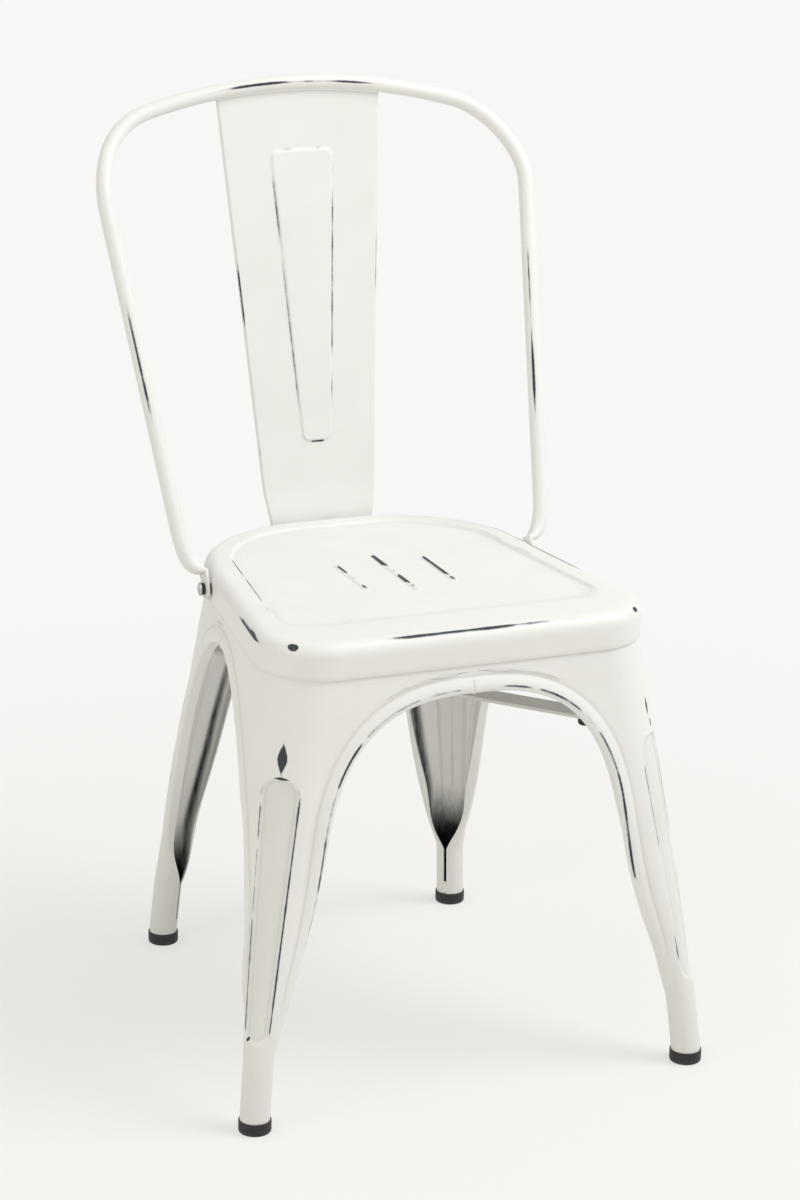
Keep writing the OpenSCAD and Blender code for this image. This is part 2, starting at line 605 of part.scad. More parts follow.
module bumper(side, at, inward, z) {
    turn = inward * brace_dir * bumper_inset;
    color("black") in_frame() mirror([side < 0 ? 1 : 0, 0, 0])
        translate([at.x + turn.x, at.y + turn.y, z - bumper_h])
            cylinder(h = bumper_h, d = bumper_d, $fn = round_fn);
}

// Rubber cap: a cup with a softened lower edge.
module foot_cap(side, to_front) {
    foot = to_front ? [front_foot_span / 2, -front_foot_y] : [rear_foot_span / 2, rear_foot_y];
    edge = 1.5;
    inner_r = foot_r + cap_gap;
    color("black") in_frame() translate([side * foot.x, foot.y, 0])
        rotate_extrude($fn = 64) polygon([[0, 0], [cap_d / 2 - edge, 0], [cap_d / 2, edge],
            [cap_d / 2, cap_h - edge / 2], [cap_d / 2 - edge / 2, cap_h], [inner_r, cap_h],
            [inner_r, cap_floor], [0, cap_floor]]);
}

// Bolts: a low round head outside, and a nut behind the sheet it clamps.
hoop_head_x = spacer_t + tab_t + cushion_t;
hoop_stack = hoop_head_x + sheet_t + washer_t;
splat_head_x = seam_gap + sheet_t;
module round_head(from) {
    r = bolt_head_d / 2;
    dome_r = (r * r + bolt_head_h * bolt_head_h) / (2 * bolt_head_h);
    dome_a = acos(1 - bolt_head_h / dome_r);
    dome = [for (i = [0:4]) let (a = dome_a * (1 - i / 5))
        [dome_r * sin(a), bolt_head_h - dome_r + dome_r * cos(a)]];
    translate([from, 0, 0]) rotate([0, 90, 0])
        rotate_extrude($fn = round_fn) polygon(concat([[0, 0]], dome, [[0, dome[4].y]]));
}
module bolt(from, reach) {
    color("silver") {
        round_head(from);
        along_axis(from - reach, reach + 0.5, bolt_d);
    }
}
module nut(from) {
    color("silver") difference() {
        along_axis(from - nut_t, nut_t, nut_d, 6);
        along_axis(from - nut_t - overlap, nut_t + 2 * overlap, bolt_d + 0.1);
    }
}
module hoop_bolt(side) {
    in_frame() at_hoop_bolt(side) bolt(hoop_head_x, hoop_stack + nut_t + 2);
}
module hoop_washer(side) {
    color("silver") in_frame() at_hoop_bolt(side) difference() {
        along_axis(-sheet_t - washer_t, washer_t, washer_d);
        along_axis(-sheet_t - washer_t - overlap, washer_t + 2 * overlap, bolt_d + 2 * bolt_gap);
    }
}
module ring_on_bolt(side, from, thickness, d) {
    color("black") in_frame() at_hoop_bolt(side) difference() {
        along_axis(from, thickness, d);
        along_axis(from - overlap, thickness + 2 * overlap, bolt_d + 2 * bolt_gap);
    }
}
module hoop_nut(side) {
    in_frame() at_hoop_bolt(side) nut(-sheet_t - washer_t);
}
module splat_bolt(side) {
    in_frame() at_splat_bolt(side) bolt(splat_head_x, splat_head_x + sheet_t + nut_t + 2);
}
module splat_nut(side) {
    in_frame() at_splat_bolt(side) nut(-sheet_t);
}

seat_pan();
leg(FRONT_LEG, -1, true);  // leg_front_left
leg(FRONT_LEG, 1, true);  // leg_front_right
leg(REAR_LEG, -1, false);  // leg_rear_left
leg(REAR_LEG, 1, false);  // leg_rear_right
back_hoop();
back_splat();
cross_brace_lower();
cross_brace_upper();
brace_rivet();
foot_cap(-1, true);  // foot_cap_front_left
foot_cap(1, true);  // foot_cap_front_right
foot_cap(-1, false);  // foot_cap_rear_left
foot_cap(1, false);  // foot_cap_rear_right
bumper(-1, brace_to, -1, brace_z + brace_t);  // bumper_front_left
bumper(1, brace_to, -1, brace_z);  // bumper_front_right
bumper(1, brace_from, 1, brace_z);  // bumper_rear_left
bumper(-1, brace_from, 1, brace_z + brace_t);  // bumper_rear_right
hoop_bolt(-1);  // hoop_bolt_left
hoop_bolt(1);  // hoop_bolt_right
hoop_washer(-1);  // hoop_washer_left
hoop_washer(1);  // hoop_washer_right
ring_on_bolt(-1, 0, spacer_t, spacer_d);  // hoop_spacer_left
ring_on_bolt(1, 0, spacer_t, spacer_d);  // hoop_spacer_right
ring_on_bolt(-1, spacer_t + tab_t, cushion_t, cushion_d);  // hoop_cushion_left
ring_on_bolt(1, spacer_t + tab_t, cushion_t, cushion_d);  // hoop_cushion_right
hoop_nut(-1);  // hoop_nut_left
hoop_nut(1);  // hoop_nut_right
splat_bolt(-1);  // splat_bolt_left
splat_bolt(1);  // splat_bolt_right
splat_nut(-1);  // splat_nut_left
splat_nut(1);  // splat_nut_right
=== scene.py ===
# %% [markdown]
# # A pressed-steel side chair with white paint rubbed through
#
# The real chair is thin sheet steel, pressed and spot-welded, with a hoop of bent tube for
# its back. It was dipped in a near-black base coat, sprayed satin white, and then sanded, so
# that the dark coat shows wherever the metal stands proud: ridges, rims and edges.
#
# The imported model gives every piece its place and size. Here the sheet pieces are made again
# from the same rules with many more points, so that beads and rims are round, and each one
# replaces its plain CAD node.

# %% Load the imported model
import math

import bmesh
import bpy
import numpy as np
from mathutils import Matrix, Vector


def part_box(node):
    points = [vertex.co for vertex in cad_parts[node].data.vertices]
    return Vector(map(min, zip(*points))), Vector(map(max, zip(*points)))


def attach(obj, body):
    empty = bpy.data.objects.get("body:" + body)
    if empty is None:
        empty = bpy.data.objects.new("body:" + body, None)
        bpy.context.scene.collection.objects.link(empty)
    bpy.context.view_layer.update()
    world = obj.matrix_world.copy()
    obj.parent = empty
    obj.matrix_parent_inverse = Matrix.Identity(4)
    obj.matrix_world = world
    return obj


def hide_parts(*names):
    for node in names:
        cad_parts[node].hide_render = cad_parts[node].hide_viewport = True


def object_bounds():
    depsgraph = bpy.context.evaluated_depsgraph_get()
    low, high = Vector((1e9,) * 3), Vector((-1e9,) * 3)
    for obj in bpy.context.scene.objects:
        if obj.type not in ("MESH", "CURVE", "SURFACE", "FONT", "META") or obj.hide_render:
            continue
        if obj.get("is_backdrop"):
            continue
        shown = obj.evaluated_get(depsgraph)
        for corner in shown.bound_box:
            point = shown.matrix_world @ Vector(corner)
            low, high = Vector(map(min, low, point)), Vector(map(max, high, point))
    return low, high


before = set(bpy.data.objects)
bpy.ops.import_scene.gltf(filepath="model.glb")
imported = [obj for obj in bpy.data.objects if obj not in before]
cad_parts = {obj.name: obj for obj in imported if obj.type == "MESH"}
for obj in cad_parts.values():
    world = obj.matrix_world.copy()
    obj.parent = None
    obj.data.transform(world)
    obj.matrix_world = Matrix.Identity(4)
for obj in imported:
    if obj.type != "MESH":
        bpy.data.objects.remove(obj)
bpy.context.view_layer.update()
MM = 0.001


# %% [markdown]
# ## Sizes
#
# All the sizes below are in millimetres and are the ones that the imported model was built
# with. The seat's middle is the zero of this working frame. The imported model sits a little
# further forward, and the foot caps tell by how much.

# %% Sizes of the chair
# seat
SEAT_H, SEAT_W, SEAT_D = 440.0, 371.0, 378.0
FRONT_R, REAR_R, REAR_FLAT = 58.0, 127.0, 66.0
SKIRT, RIM_R, BORDER, BORDER_FRONT, RECESS = 33.0, 13.0, 24.0, 52.0, 3.0
RECESS_WALL, RIB_PITCH, RIB_W, RIB_H = 5.0, 44.0, 7.0, 1.6
SHEET, SEAM = 1.2, 0.3
# legs: feet, arches, slit, channel
FRONT_FOOT, REAR_FOOT, FOOT_Y, FOOT_R = 215.0, 157.5, 216.0, 13.8
ARCH_H, BEAD_H, FLANGE = 387.0, 3.5, 8.0
SLIT_TOP, SLIT_BOTTOM, OPEN_Z, KICK_Z = 64.0, 26.0, 150.0, 220.0
CURL_TOP, LEAST_LEG = 280.0, 26.5
CHANNEL_Z, CHANNEL_W, CHANNEL_DEPTH = (84.0, 320.0), (13.0, 20.0), 3.0
SHOULDER, FOOT_STRAIGHT, CAP_FLOOR = 250.0, 14.0, 3.0
# hoop and its flat tabs
BACK_H, HOOP_LOW_W, HOOP_HIGH_W, TUBE_R = 863.0, 371.0, 431.0, 7.5
HOOP_CORNER_R, HOOP_TOP_R, LEAN, BOW, BOLT_Y = 82.0, 550.0, 23.0, 25.0, 60.0
HOOP_LOW_L, HOOP_BEND_L, SPACER, TAB_T, TAB_R, TAB_LEN = 56.0, 18.0, 3.0, 3.0, 10.0, 17.0
# heights that follow
SKIRT_Z, FLOOR_Z = SEAT_H - SKIRT, SEAT_H - RECESS
LEG_TOP = SEAT_H - RIM_R - 15
BOLT_Z = SEAT_H - RIM_R - 6.2
low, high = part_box("foot_cap_front_left")
MIDDLE = -FOOT_Y - (low[1] + high[1]) / 2 / MM
print("seat's middle to frame:", round(MIDDLE, 3), "mm")


# %% Helpers for smooth steps, mixing and mesh making
RUB_SHIFT, WHOLE, SHARP_DEG = 10.0, -9.0, 38


def mix(a, b, t):
    return a + (b - a) * t


def clamp01(t):
    return np.clip(t, 0.0, 1.0)


def smooth(t):
    c = clamp01(t)
    return c * c * (3 - 2 * c)


def lengths(v):
    return np.maximum(np.linalg.norm(v, axis=-1, keepdims=True), 1e-9)


def to_frame(points):
    """Millimetres about the seat's middle, to metres in the chair's frame."""
    moved = np.array(points, dtype=float)
    moved[..., 1] -= MIDDLE
    return moved * MM


def store_marks(mesh, **marks):
    """Numbers on the mesh for the paint. `rub` is kept higher, so that none means whole."""
    for key, values in marks.items():
        values = np.broadcast_to(np.asarray(values, dtype=np.float32), len(mesh.vertices))
        if key == "rub":
            values = np.maximum(values + RUB_SHIFT, 0)
        mark = mesh.attributes.new(key, "FLOAT", "POINT")
        mark.data.foreach_set("value", np.ascontiguousarray(values))


def add_piece(name, points, faces, marks=None):
    """A closed mesh from points in metres, turned right side out, with number marks."""
    mesh = bpy.data.meshes.new(name)
    mesh.from_pydata(np.asarray(points).reshape(-1, 3).tolist(), [], faces)
    mesh.validate()
    store_marks(mesh, **{key: np.ravel(values) for key, values in (marks or {}).items()})
    mesh.update()
    mesh.calc_loop_triangles()
    p = np.empty(len(mesh.vertices) * 3)
    mesh.vertices.foreach_get("co", p)
    t = np.empty(len(mesh.loop_triangles) * 3, dtype=np.int32)
    mesh.loop_triangles.foreach_get("vertices", t)
    a, b, c = p.reshape(-1, 3)[t.reshape(-1, 3)].transpose(1, 0, 2)
    volume = np.einsum("ij,ij->", a, np.cross(b, c)) / 6
    if volume < 0:
        mesh.flip_normals()
    mesh.shade_smooth()
    mesh.set_sharp_from_angle(angle=math.radians(SHARP_DEG))
    piece = bpy.data.objects.new(name, mesh)
    bpy.context.collection.objects.link(piece)
    print(f"{name}: {len(mesh.loop_triangles)} triangles, {abs(volume) * 1e6:.1f} cm3")
    return piece


def hand_over(piece, material, slot, *nodes):
    """Gives a piece its finish, puts it under the root body, and hides the CAD nodes it replaces.
    """
    if material and not piece.data.materials:
        piece.data.materials.append(material)
    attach(piece, "root")
    if nodes:
        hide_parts(*nodes)


# %% [markdown]
# ## The paint
#
# One satin white paint covers all the sheet and tube. Every painted mesh carries a number
# called `rub`: how far, in millimetres, a point lies inside the patch that was sanded
# through. Below zero the white is whole, above zero the dark coat shows. The shader adds fine
# noise to the number before it looks at the sign, so the patches get the ragged, feathered
# edge that sandpaper leaves. A second number paints shade as grey into creases, recesses,
# undersides and the hoop's ends. It also adds a little dust low on the legs and greys the weld
# drops.
# A third, `missed`, tells where the spray gun never reached, deep inside the legs.
#
# A painted map could hold the patches too, but numbers on the mesh stay sharp at any distance
# and follow the ridges by themselves.

# %% Node-building helper and the shared ragged-edge group
def graph(tree):
    """Returns a function that adds one node and wires its inputs."""
    def add(kind, inputs=None, **settings):
        made = tree.nodes.new(kind)
        for key, value in settings.items():
            setattr(made, key, value)
        for key, value in (inputs or {}).items():
            if isinstance(value, bpy.types.NodeSocket):
                tree.links.new(value, made.inputs[key])
            else:
                made.inputs[key].default_value = value
        return made
    return add


def new_material(name):
    material = bpy.data.materials.new(name)
    material.use_nodes = True
    material.node_tree.nodes.clear()
    return material, graph(material.node_tree)


def calc(add, a, b, kind="ADD"):
    """One step of arithmetic between two numbers, a sum unless another kind is asked for."""
    return add("ShaderNodeMath", {0: a, 1: b}, operation=kind).outputs[0]


def ramp(add, value, low, high, out=(0.0, 1.0), kind="SMOOTHSTEP"):
    return add("ShaderNodeMapRange", {0: value, 1: low, 2: high, 3: out[0], 4: out[1]},
               interpolation_type=kind).outputs[0]


def grain(add, where, scale, detail=3.0, rough=0.55):
    return add("ShaderNodeTexNoise", {"Vector": where, "Scale": scale, "Detail": detail,
                                      "Roughness": rough}).outputs["Fac"]


# %% The coats of the worn paint
def blend(add, share, first, second):
    colours = {0: share, 6: first, 7: second}
    return add("ShaderNodeMix", colours, data_type="RGBA").outputs[2]


def mark(add, name):
    return add("ShaderNodeAttribute", attribute_name=name).outputs["Fac"]


def rubbed_edge(add, where):
    """How far inside a rubbed patch a point lies, with a ragged outline."""
    flecks = ramp(add, grain(add, where, 1100, 4, 0.6), 0, 1, (-0.6, 0.6), "LINEAR")
    waves = ramp(add, grain(add, where, 60, 2), 0, 1, (-0.5, 0.5), "LINEAR")
    inside = calc(add, mark(add, "rub"), RUB_SHIFT, "SUBTRACT")
    return calc(add, inside, calc(add, flecks, waves))


def white_coat(add, where, edge):
    """Near whites in soft clouds, then painted shade and dust, specks, a thin coat near rubbed
    edges.
    """
    cloud = ramp(add, grain(add, where, 14, 3), 0.3, 0.7, kind="LINEAR")
    white = blend(add, cloud, (0.795, 0.794, 0.770, 1), (0.822, 0.822, 0.800, 1))
    # Painted shade in creases, recesses and undersides, with dust low down, mixed in as a warm
    # grey.
    shade_and_dust = calc(add, mark(add, "grime"), 0.5, "MULTIPLY")
    shaded_and_dusty = blend(add, shade_and_dust, white, (0.36, 0.33, 0.28, 1))
    speck = ramp(add, grain(add, where, 1300, 2, 0.7), 0.78, 0.84)
    dotted = blend(add, calc(add, speck, 0.18, "MULTIPLY"), shaded_and_dusty, (0.42, 0.40, 0.36, 1))
    thin = ramp(add, edge, -1.2, 0.0)
    return blend(add, calc(add, thin, 0.30, "MULTIPLY"), dotted, (0.36, 0.40, 0.46, 1))


def dark_coat(add, where):
    streak = ramp(add, grain(add, where, 420, 3), 0.35, 0.7, kind="LINEAR")
    return blend(add, streak, (0.013, 0.016, 0.025, 1), (0.045, 0.052, 0.070, 1))


def missed_share(add, where):
    """The share of bare base coat where the spray missed, broken up by long runs."""
    long_way = add("ShaderNodeMapping", {0: where, 3: (300.0, 300.0, 9.0)}).outputs[0]
    run = ramp(add, grain(add, long_way, 1.0, 4, 0.6), 0.0, 1.0, (-0.28, 0.28), "LINEAR")
    some = ramp(add, mark(add, "missed"), 0.0, 0.3)
    uneven = calc(add, mark(add, "missed"), calc(add, run, some, "MULTIPLY"))
    return ramp(add, uneven, 0.1, 1.0, kind="LINEAR")


# %% The worn white paint
def make_paint():
    material, add = new_material("worn_white_paint")
    where = add("ShaderNodeTexCoord").outputs["Object"]
    edge = rubbed_edge(add, where)
    worn = ramp(add, edge, -0.35, 0.35)
    opened = blend(add, worn, white_coat(add, where, edge), dark_coat(add, where))
    colour = blend(add, missed_share(add, where), opened, (0.012, 0.014, 0.018, 1))
    peel = grain(add, where, 520, 2)
    level = calc(add, calc(add, peel, 0.16, "MULTIPLY"), calc(add, worn, -0.6, "MULTIPLY"))
    bump = add("ShaderNodeBump", {"Height": level, "Strength": 0.35, "Distance": 0.00022})
    sheen = calc(add, ramp(add, peel, 0.3, 0.7, (0.36, 0.46), "LINEAR"),
                 calc(add, worn, 0.14, "MULTIPLY"))
    skin = add("ShaderNodeBsdfPrincipled", {"Base Color": colour, "Roughness": sheen,
                                            "Normal": bump.outputs[0]})
    skin.inputs["Specular IOR Level"].default_value = 0.42
    add("ShaderNodeOutputMaterial", {0: skin.outputs[0]})
    return material


PAINT = make_paint()
print("paint nodes:", len(PAINT.node_tree.nodes))


# %% [markdown]
# ## Rubber and zinc
#
# The foot caps and bumpers are black moulded rubber, matt and a little dusty low down. The
# bolts are dull zinc plate: a faint crystal pattern in the grey, and a soft shine.

# %% Rubber, and zinc plate
def make_rubber():
    material, add = new_material("black_rubber")
    where = add("ShaderNodeTexCoord").outputs["Object"]
    height = add("ShaderNodeSeparateXYZ", {0: where}).outputs["Z"]
    low_down = ramp(add, height, 0.007, 0.0)
    dust = calc(add, low_down, ramp(add, grain(add, where, 350, 4), 0.4, 0.7), "MULTIPLY")
    dusty = calc(add, dust, 0.5, "MULTIPLY")
    colour = blend(add, dusty, (0.011, 0.011, 0.012, 1), (0.11, 0.10, 0.09, 1))
    fine = grain(add, where, 1500, 3)
    bump = add("ShaderNodeBump", {"Height": fine, "Strength": 0.25, "Distance": 0.0002})
    skin = add("ShaderNodeBsdfPrincipled", {"Base Color": colour, "Normal": bump.outputs[0],
                                            "Roughness": ramp(add, fine, 0.3, 0.7, (0.5, 0.68))})
    add("ShaderNodeOutputMaterial", {0: skin.outputs[0]})
    return material


def make_zinc():
    material, add = new_material("dull_zinc")
    where = add("ShaderNodeTexCoord").outputs["Object"]
    cells = add("ShaderNodeTexVoronoi", {"Vector": where, "Scale": 420.0}).outputs["Distance"]
    cloud = grain(add, where, 260, 3)
    share = ramp(add, cloud, 0.35, 0.65)
    colour = blend(add, share, (0.42, 0.43, 0.43, 1), (0.60, 0.61, 0.60, 1))
    bump = add("ShaderNodeBump", {"Height": cells, "Strength": 0.2, "Distance": 0.0002})
    skin = add("ShaderNodeBsdfPrincipled", {"Base Color": colour, "Normal": bump.outputs[0],
                                            "Roughness": ramp(add, cloud, 0.3, 0.7, (0.3, 0.5))})
    skin.inputs["Metallic"].default_value = 1.0
    add("ShaderNodeOutputMaterial", {0: skin.outputs[0]})
    return material


RUBBER, ZINC = make_rubber(), make_zinc()
print("rubber and zinc made")


# %% [markdown]
# ## Where the sandpaper went
#
# A ridge is sanded in strokes. Each stroke is a start, an end and a half width, measured
# along the ridge. `strokes` turns such a list into the half width at any place, with tapered
# ends. Ridges that face away get strokes from a seeded random maker, so that the back of the
# chair is as worn as the front.

# %% Strokes along a ridge
def strokes(at, marks, taper=9.0):
    """Half width of the rubbed line at each place, -3 where the paint is whole."""
    width = np.full(np.shape(at), -3.0)
    for start, end, half in marks:
        reach = np.minimum(at - start, end - at)
        soft = min(taper, 0.5 * (end - start))
        width = np.maximum(width, half - 1.6 * (1 - smooth(reach / soft)) - clamp01(-reach))
    return width


def random_strokes(seed, length, share=0.45, half=0.55):
    """Tapered dashes of uneven length that cover about a share of the ridge."""
    rng = np.random.default_rng(seed)
    marks, at = [], rng.uniform(4, 30)
    while at < length - 8:
        run = rng.uniform(8, 70)
        marks.append((at, min(at + run, length), half * rng.uniform(0.5, 1.5)))
        at += run + rng.uniform(6, 60) * (1 - share) / 0.55
    return marks


print("example strokes:", [[round(float(v)) for v in m[:2]] for m in random_strokes(3, 300)][:4])


# %% [markdown]
# ## The legs
#
# Each leg is one pressing. Seen from above, it is a corner: two flat faces joined by a round
# bend. The bend is tight at the foot and wide under the seat, and low down the two faces curl
# in until they meet as a tube, which is closed with a short weld. The inner edges of the
# faces follow half an arch, and are rolled into a bead with a flange turned in behind it. A
# shallow channel is pressed down the middle of the bend.
#
# So a leg is a rule with two numbers: the height, and the length along the sheet from the
# middle of the bend. The rows and columns of the mesh are closest together at the bead and
# round the channel, where the surface turns fastest.
#
# All four legs are made as if they stood at the right rear. Then x goes out to the side and e
# goes out to the end, and `end` is the arch across the front or the rear of the chair, `side`
# the one along its side. The finished points are mirrored into place.

# %% The legs' corners, arches and places
def corner_tip(c, r, a):
    """Where the two faces of a corner would meet if it had no bend of radius r round c."""
    return np.array([c[0] + r * (1 - math.sin(a)) / math.cos(a), c[1] + r])


corner_f = np.array([SEAT_W / 2 - FRONT_R, -SEAT_D / 2 + FRONT_R])
corner_r = np.array([REAR_FLAT / 2, SEAT_D / 2 - REAR_R])
line = corner_r - corner_f
SIDE_A = math.atan2(line[1], line[0]) - math.acos((FRONT_R - REAR_R) / np.linalg.norm(line))
INSET, BEND_MID = SHEET + SEAM, math.radians(45)


def arch_curve(reach, splay, spring, power, kick=0.0):
    """Half an arch: its reach, the splay of its sides, where it springs, its fullness, its kick."""
    return dict(reach=reach, splay=splay, spring=spring, power=power, kick=kick)


FRONT_LEG = dict(
    foot=(FRONT_FOOT, FOOT_Y), turn=-SIDE_A, r=FRONT_R - INSET,
    tip=corner_tip((corner_f[0], -corner_f[1]), FRONT_R - INSET, -SIDE_A),
    end=arch_curve(126.0, 0.17, SHOULDER, 2.7, 0.00087), side=arch_curve(100.0, 0.42, 150.0, 2.1))
REAR_LEG = dict(
    foot=(REAR_FOOT, FOOT_Y), turn=SIDE_A, r=REAR_R - INSET,
    tip=corner_tip(corner_r, REAR_R - INSET, SIDE_A),
    end=arch_curve(73.0, 0.2, SHOULDER, 2.5, 0.0002), side=arch_curve(106.0, 0.3, 200.0, 2.4))
print("the seat's sides turn in by", round(math.degrees(SIDE_A), 1), "degrees")


# %% The rule of a leg
def open_part(z):
    """0 where the foot is a closed tube, 1 where the sheet runs out to the arch."""
    return smooth((z - SLIT_TOP) / (OPEN_Z - SLIT_TOP))


def curl_part(z):
    """How much of the foot's curl the faces keep, 1 in the tube and 0 at the curl's top."""
    return 1 - clamp01((z - SLIT_TOP) / (CURL_TOP - SLIT_TOP))


def soft_min(a, b, k=6.0):
    return np.minimum(a, b) - np.maximum(k - np.abs(a - b), 0) ** 2 / (4 * k)


def bend_radius(leg, z):
    return mix(FOOT_R, leg["r"], clamp01((z - SLIT_TOP) / (SKIRT_Z - SLIT_TOP)) ** 1.1)


def bend_centre(leg, z):
    rise = clamp01((z - FOOT_STRAIGHT) / (SKIRT_Z - FOOT_STRAIGHT))
    foot = corner_tip(leg["foot"], FOOT_R, leg["turn"])
    r, a = bend_radius(leg, z), leg["turn"]
    return (mix(foot[0], leg["tip"][0], rise) - r * (1 - math.sin(a)) / math.cos(a),
            mix(foot[1], leg["tip"][1], rise) - r)


def half_turn(leg, side):
    """How far the bend turns from its middle to the end face (side 1) or side face (-1)."""
    return BEND_MID if side > 0 else BEND_MID - leg["turn"]


def on_leg(leg, z, s, side, out):
    """Point at height z and length s from the bend's middle, lifted out of the sheet."""
    r, h = bend_radius(leg, z), half_turn(leg, side)
    cx, ce = bend_centre(leg, z)
    turned = np.minimum(s / r, h)
    run = np.maximum(0.0, s - r * h)
    curl = curl_part(z) * run / FOOT_R
    chord = run * np.sinc(curl / 2 / np.pi)
    a = BEND_MID + side * turned
    m, e = a + side * curl / 2, a + side * curl
    x = cx + r * np.cos(a) - chord * side * np.sin(m) + out * np.cos(e)
    y = ce + r * np.sin(a) + chord * side * np.cos(m) + out * np.sin(e)
    return np.stack(np.broadcast_arrays(x, y, z), axis=-1)


def length_to(leg, z, value, side):
    """Length along the sheet at which the end face has x, or the side face has e, value."""
    r, h = bend_radius(leg, z), half_turn(leg, side)
    cx, ce = bend_centre(leg, z)
    a = BEND_MID + side * h
    if side > 0:
        over = cx + r * math.cos(a) - value
        back = np.arccos(clamp01((value - cx) / r)) - BEND_MID
    else:
        over = (ce + r * math.sin(a) - value) / math.cos(leg["turn"])
        back = BEND_MID - np.arcsin(np.clip((value - ce) / r, -1, 1))
    return np.where(over >= 0, r * h + over, r * back)


def arch_reach(arch, z):
    t = clamp01((z - arch["spring"]) / (ARCH_H - arch["spring"]))
    return (arch["reach"] * (1 - t ** arch["power"]) ** (1 / arch["power"])
            + arch["splay"] * (ARCH_H - z) + arch["kick"] * np.maximum(0, KICK_Z - z) ** 2)


# %% Rows of a leg
LAST_ROWS = np.array([403.5, SKIRT_Z - 0.5, LEG_TOP])


def leg_rows():
    """Corner heights, and for the arch part the share of the way to its crown."""
    low_part = np.concatenate([
        np.linspace(CAP_FLOOR, 24, 6), [25.2, 26.4], np.linspace(30, 64, 9),
        np.arange(67, 82, 3.0), np.arange(82, 101, 1.6), np.arange(103, 150, 3.5),
        np.arange(150, SHOULDER, 4.0)])
    share = np.concatenate([np.linspace(0, 0.3, 14)[:-1], np.linspace(0.3, 0.5, 22)[:-1],
                            np.linspace(0.5, 0.9, 16)[:-1], np.linspace(0.9, 1, 9)])
    corner = np.interp(share, [0, .3, .5, 1], [SHOULDER, 303, CHANNEL_Z[1] + 1.5, ARCH_H + 2])
    return low_part, share, corner


def crest_line(leg, arch, side, low_part, share):
    """The top line of the bead, as reach and height, for each row."""
    cx, ce = bend_centre(leg, low_part)
    limit = (cx if side > 0 else ce) + bend_radius(leg, low_part) - LEAST_LEG
    reach = soft_min(arch_reach(arch, low_part), limit)
    spring, power = arch["spring"], arch["power"]
    t0 = math.asin(((SHOULDER - spring) / (ARCH_H - spring)) ** (power / 2))
    z = spring + (ARCH_H - spring) * np.sin(mix(t0, math.pi / 2, share)) ** (2 / power)
    high_reach = np.where(share >= 1, 0.0, arch_reach(arch, z))
    return np.stack([np.concatenate([reach, high_reach, np.zeros(len(LAST_ROWS))]),
                     np.concatenate([low_part, z, LAST_ROWS])], axis=1)


def leg_frame(leg, side):
    """For each row: corner height, crest, the way off the arch, and how far the crown is."""
    low_part, share, corner = leg_rows()
    crest = crest_line(leg, leg["end"] if side > 0 else leg["side"], side, low_part, share)
    apex = len(low_part) + len(share) - 1
    along = np.gradient(crest[:apex + 1], axis=0)
    along = along / lengths(along)
    away = np.tile([[0.0, 1.0]], (len(crest), 1))
    away[:apex] = np.stack([along[:, 1], -along[:, 0]], axis=1)[:apex]
    steps = np.linalg.norm(np.diff(crest[:apex + 1], axis=0), axis=1)
    run = np.concatenate([[0], np.cumsum(steps)])
    from_crown = np.concatenate([run[-1] - run, np.zeros(len(LAST_ROWS))])
    rows = np.concatenate([low_part, corner, LAST_ROWS])
    return rows[:, None], crest, away, from_crown[:, None], apex


print("rows up a leg:", len(leg_frame(FRONT_LEG, 1)[0]))


# %% Columns of a leg: bead, flange and channel
BEAD_STEPS = np.array([14, 11.4, 10.2, 9.6, 8.8, 7.5, 6, 4.5, 3, 1.5, 0, -1.3, -2.5, -3.6, -4.5,
                       -5.1, -5.45, -5.6, -5.6, -5.6])
FLANGE_DROP = np.array([0] * 17 + [1.6, 4.5, FLANGE])
SHEET_SHARES = np.concatenate([[0.04, 0.09], np.linspace(0.17, 0.92, 8)])
CHANNEL_SHARES = np.array([0, .06, .12, .2, .3, .45, .6, .7, .78, .85, .9, .95, 1.0])
BEAD_TOE, BEAD_IN = 10.0, 5.62


def bead_height(d):
    """Height of the bead at d outside its crest: a long toe outwards, a round roll inwards."""
    rise = BEAD_H * clamp01(1 - (np.maximum(d, 0) / BEAD_TOE) ** 2) ** 1.25
    roll = BEAD_H * np.sqrt(np.maximum(0, 1 - (np.minimum(d, 0) / BEAD_IN) ** 2))
    return np.where(d >= 0, rise, roll)


def rounded_gap(qx, qz, round_r):
    """Distance to a rounded outline, negative inside, from how far past its corners' centres."""
    outside = np.hypot(np.maximum(qx, 0), np.maximum(qz, 0))
    return outside + np.minimum(np.maximum(qx, qz), 0) - round_r


def channel_half(z):
    return mix(*CHANNEL_W, clamp01((z - CHANNEL_Z[0]) / (CHANNEL_Z[1] - CHANNEL_Z[0])))


def channel_gap(z, s):
    round_r = mix(11.5, 17.5, clamp01((z - 150) / 100))
    qz = np.maximum(CHANNEL_Z[0] + round_r - z, z - (CHANNEL_Z[1] - round_r))
    return rounded_gap(np.abs(s) - (channel_half(z) - round_r), qz, round_r)


# %% [markdown]
# The columns of a face run out from the middle of the bend: first across the channel, then
# across plain sheet, then over the bead and down the flange. Low down, where the leg is a
# tube, the same columns are spread evenly round it.

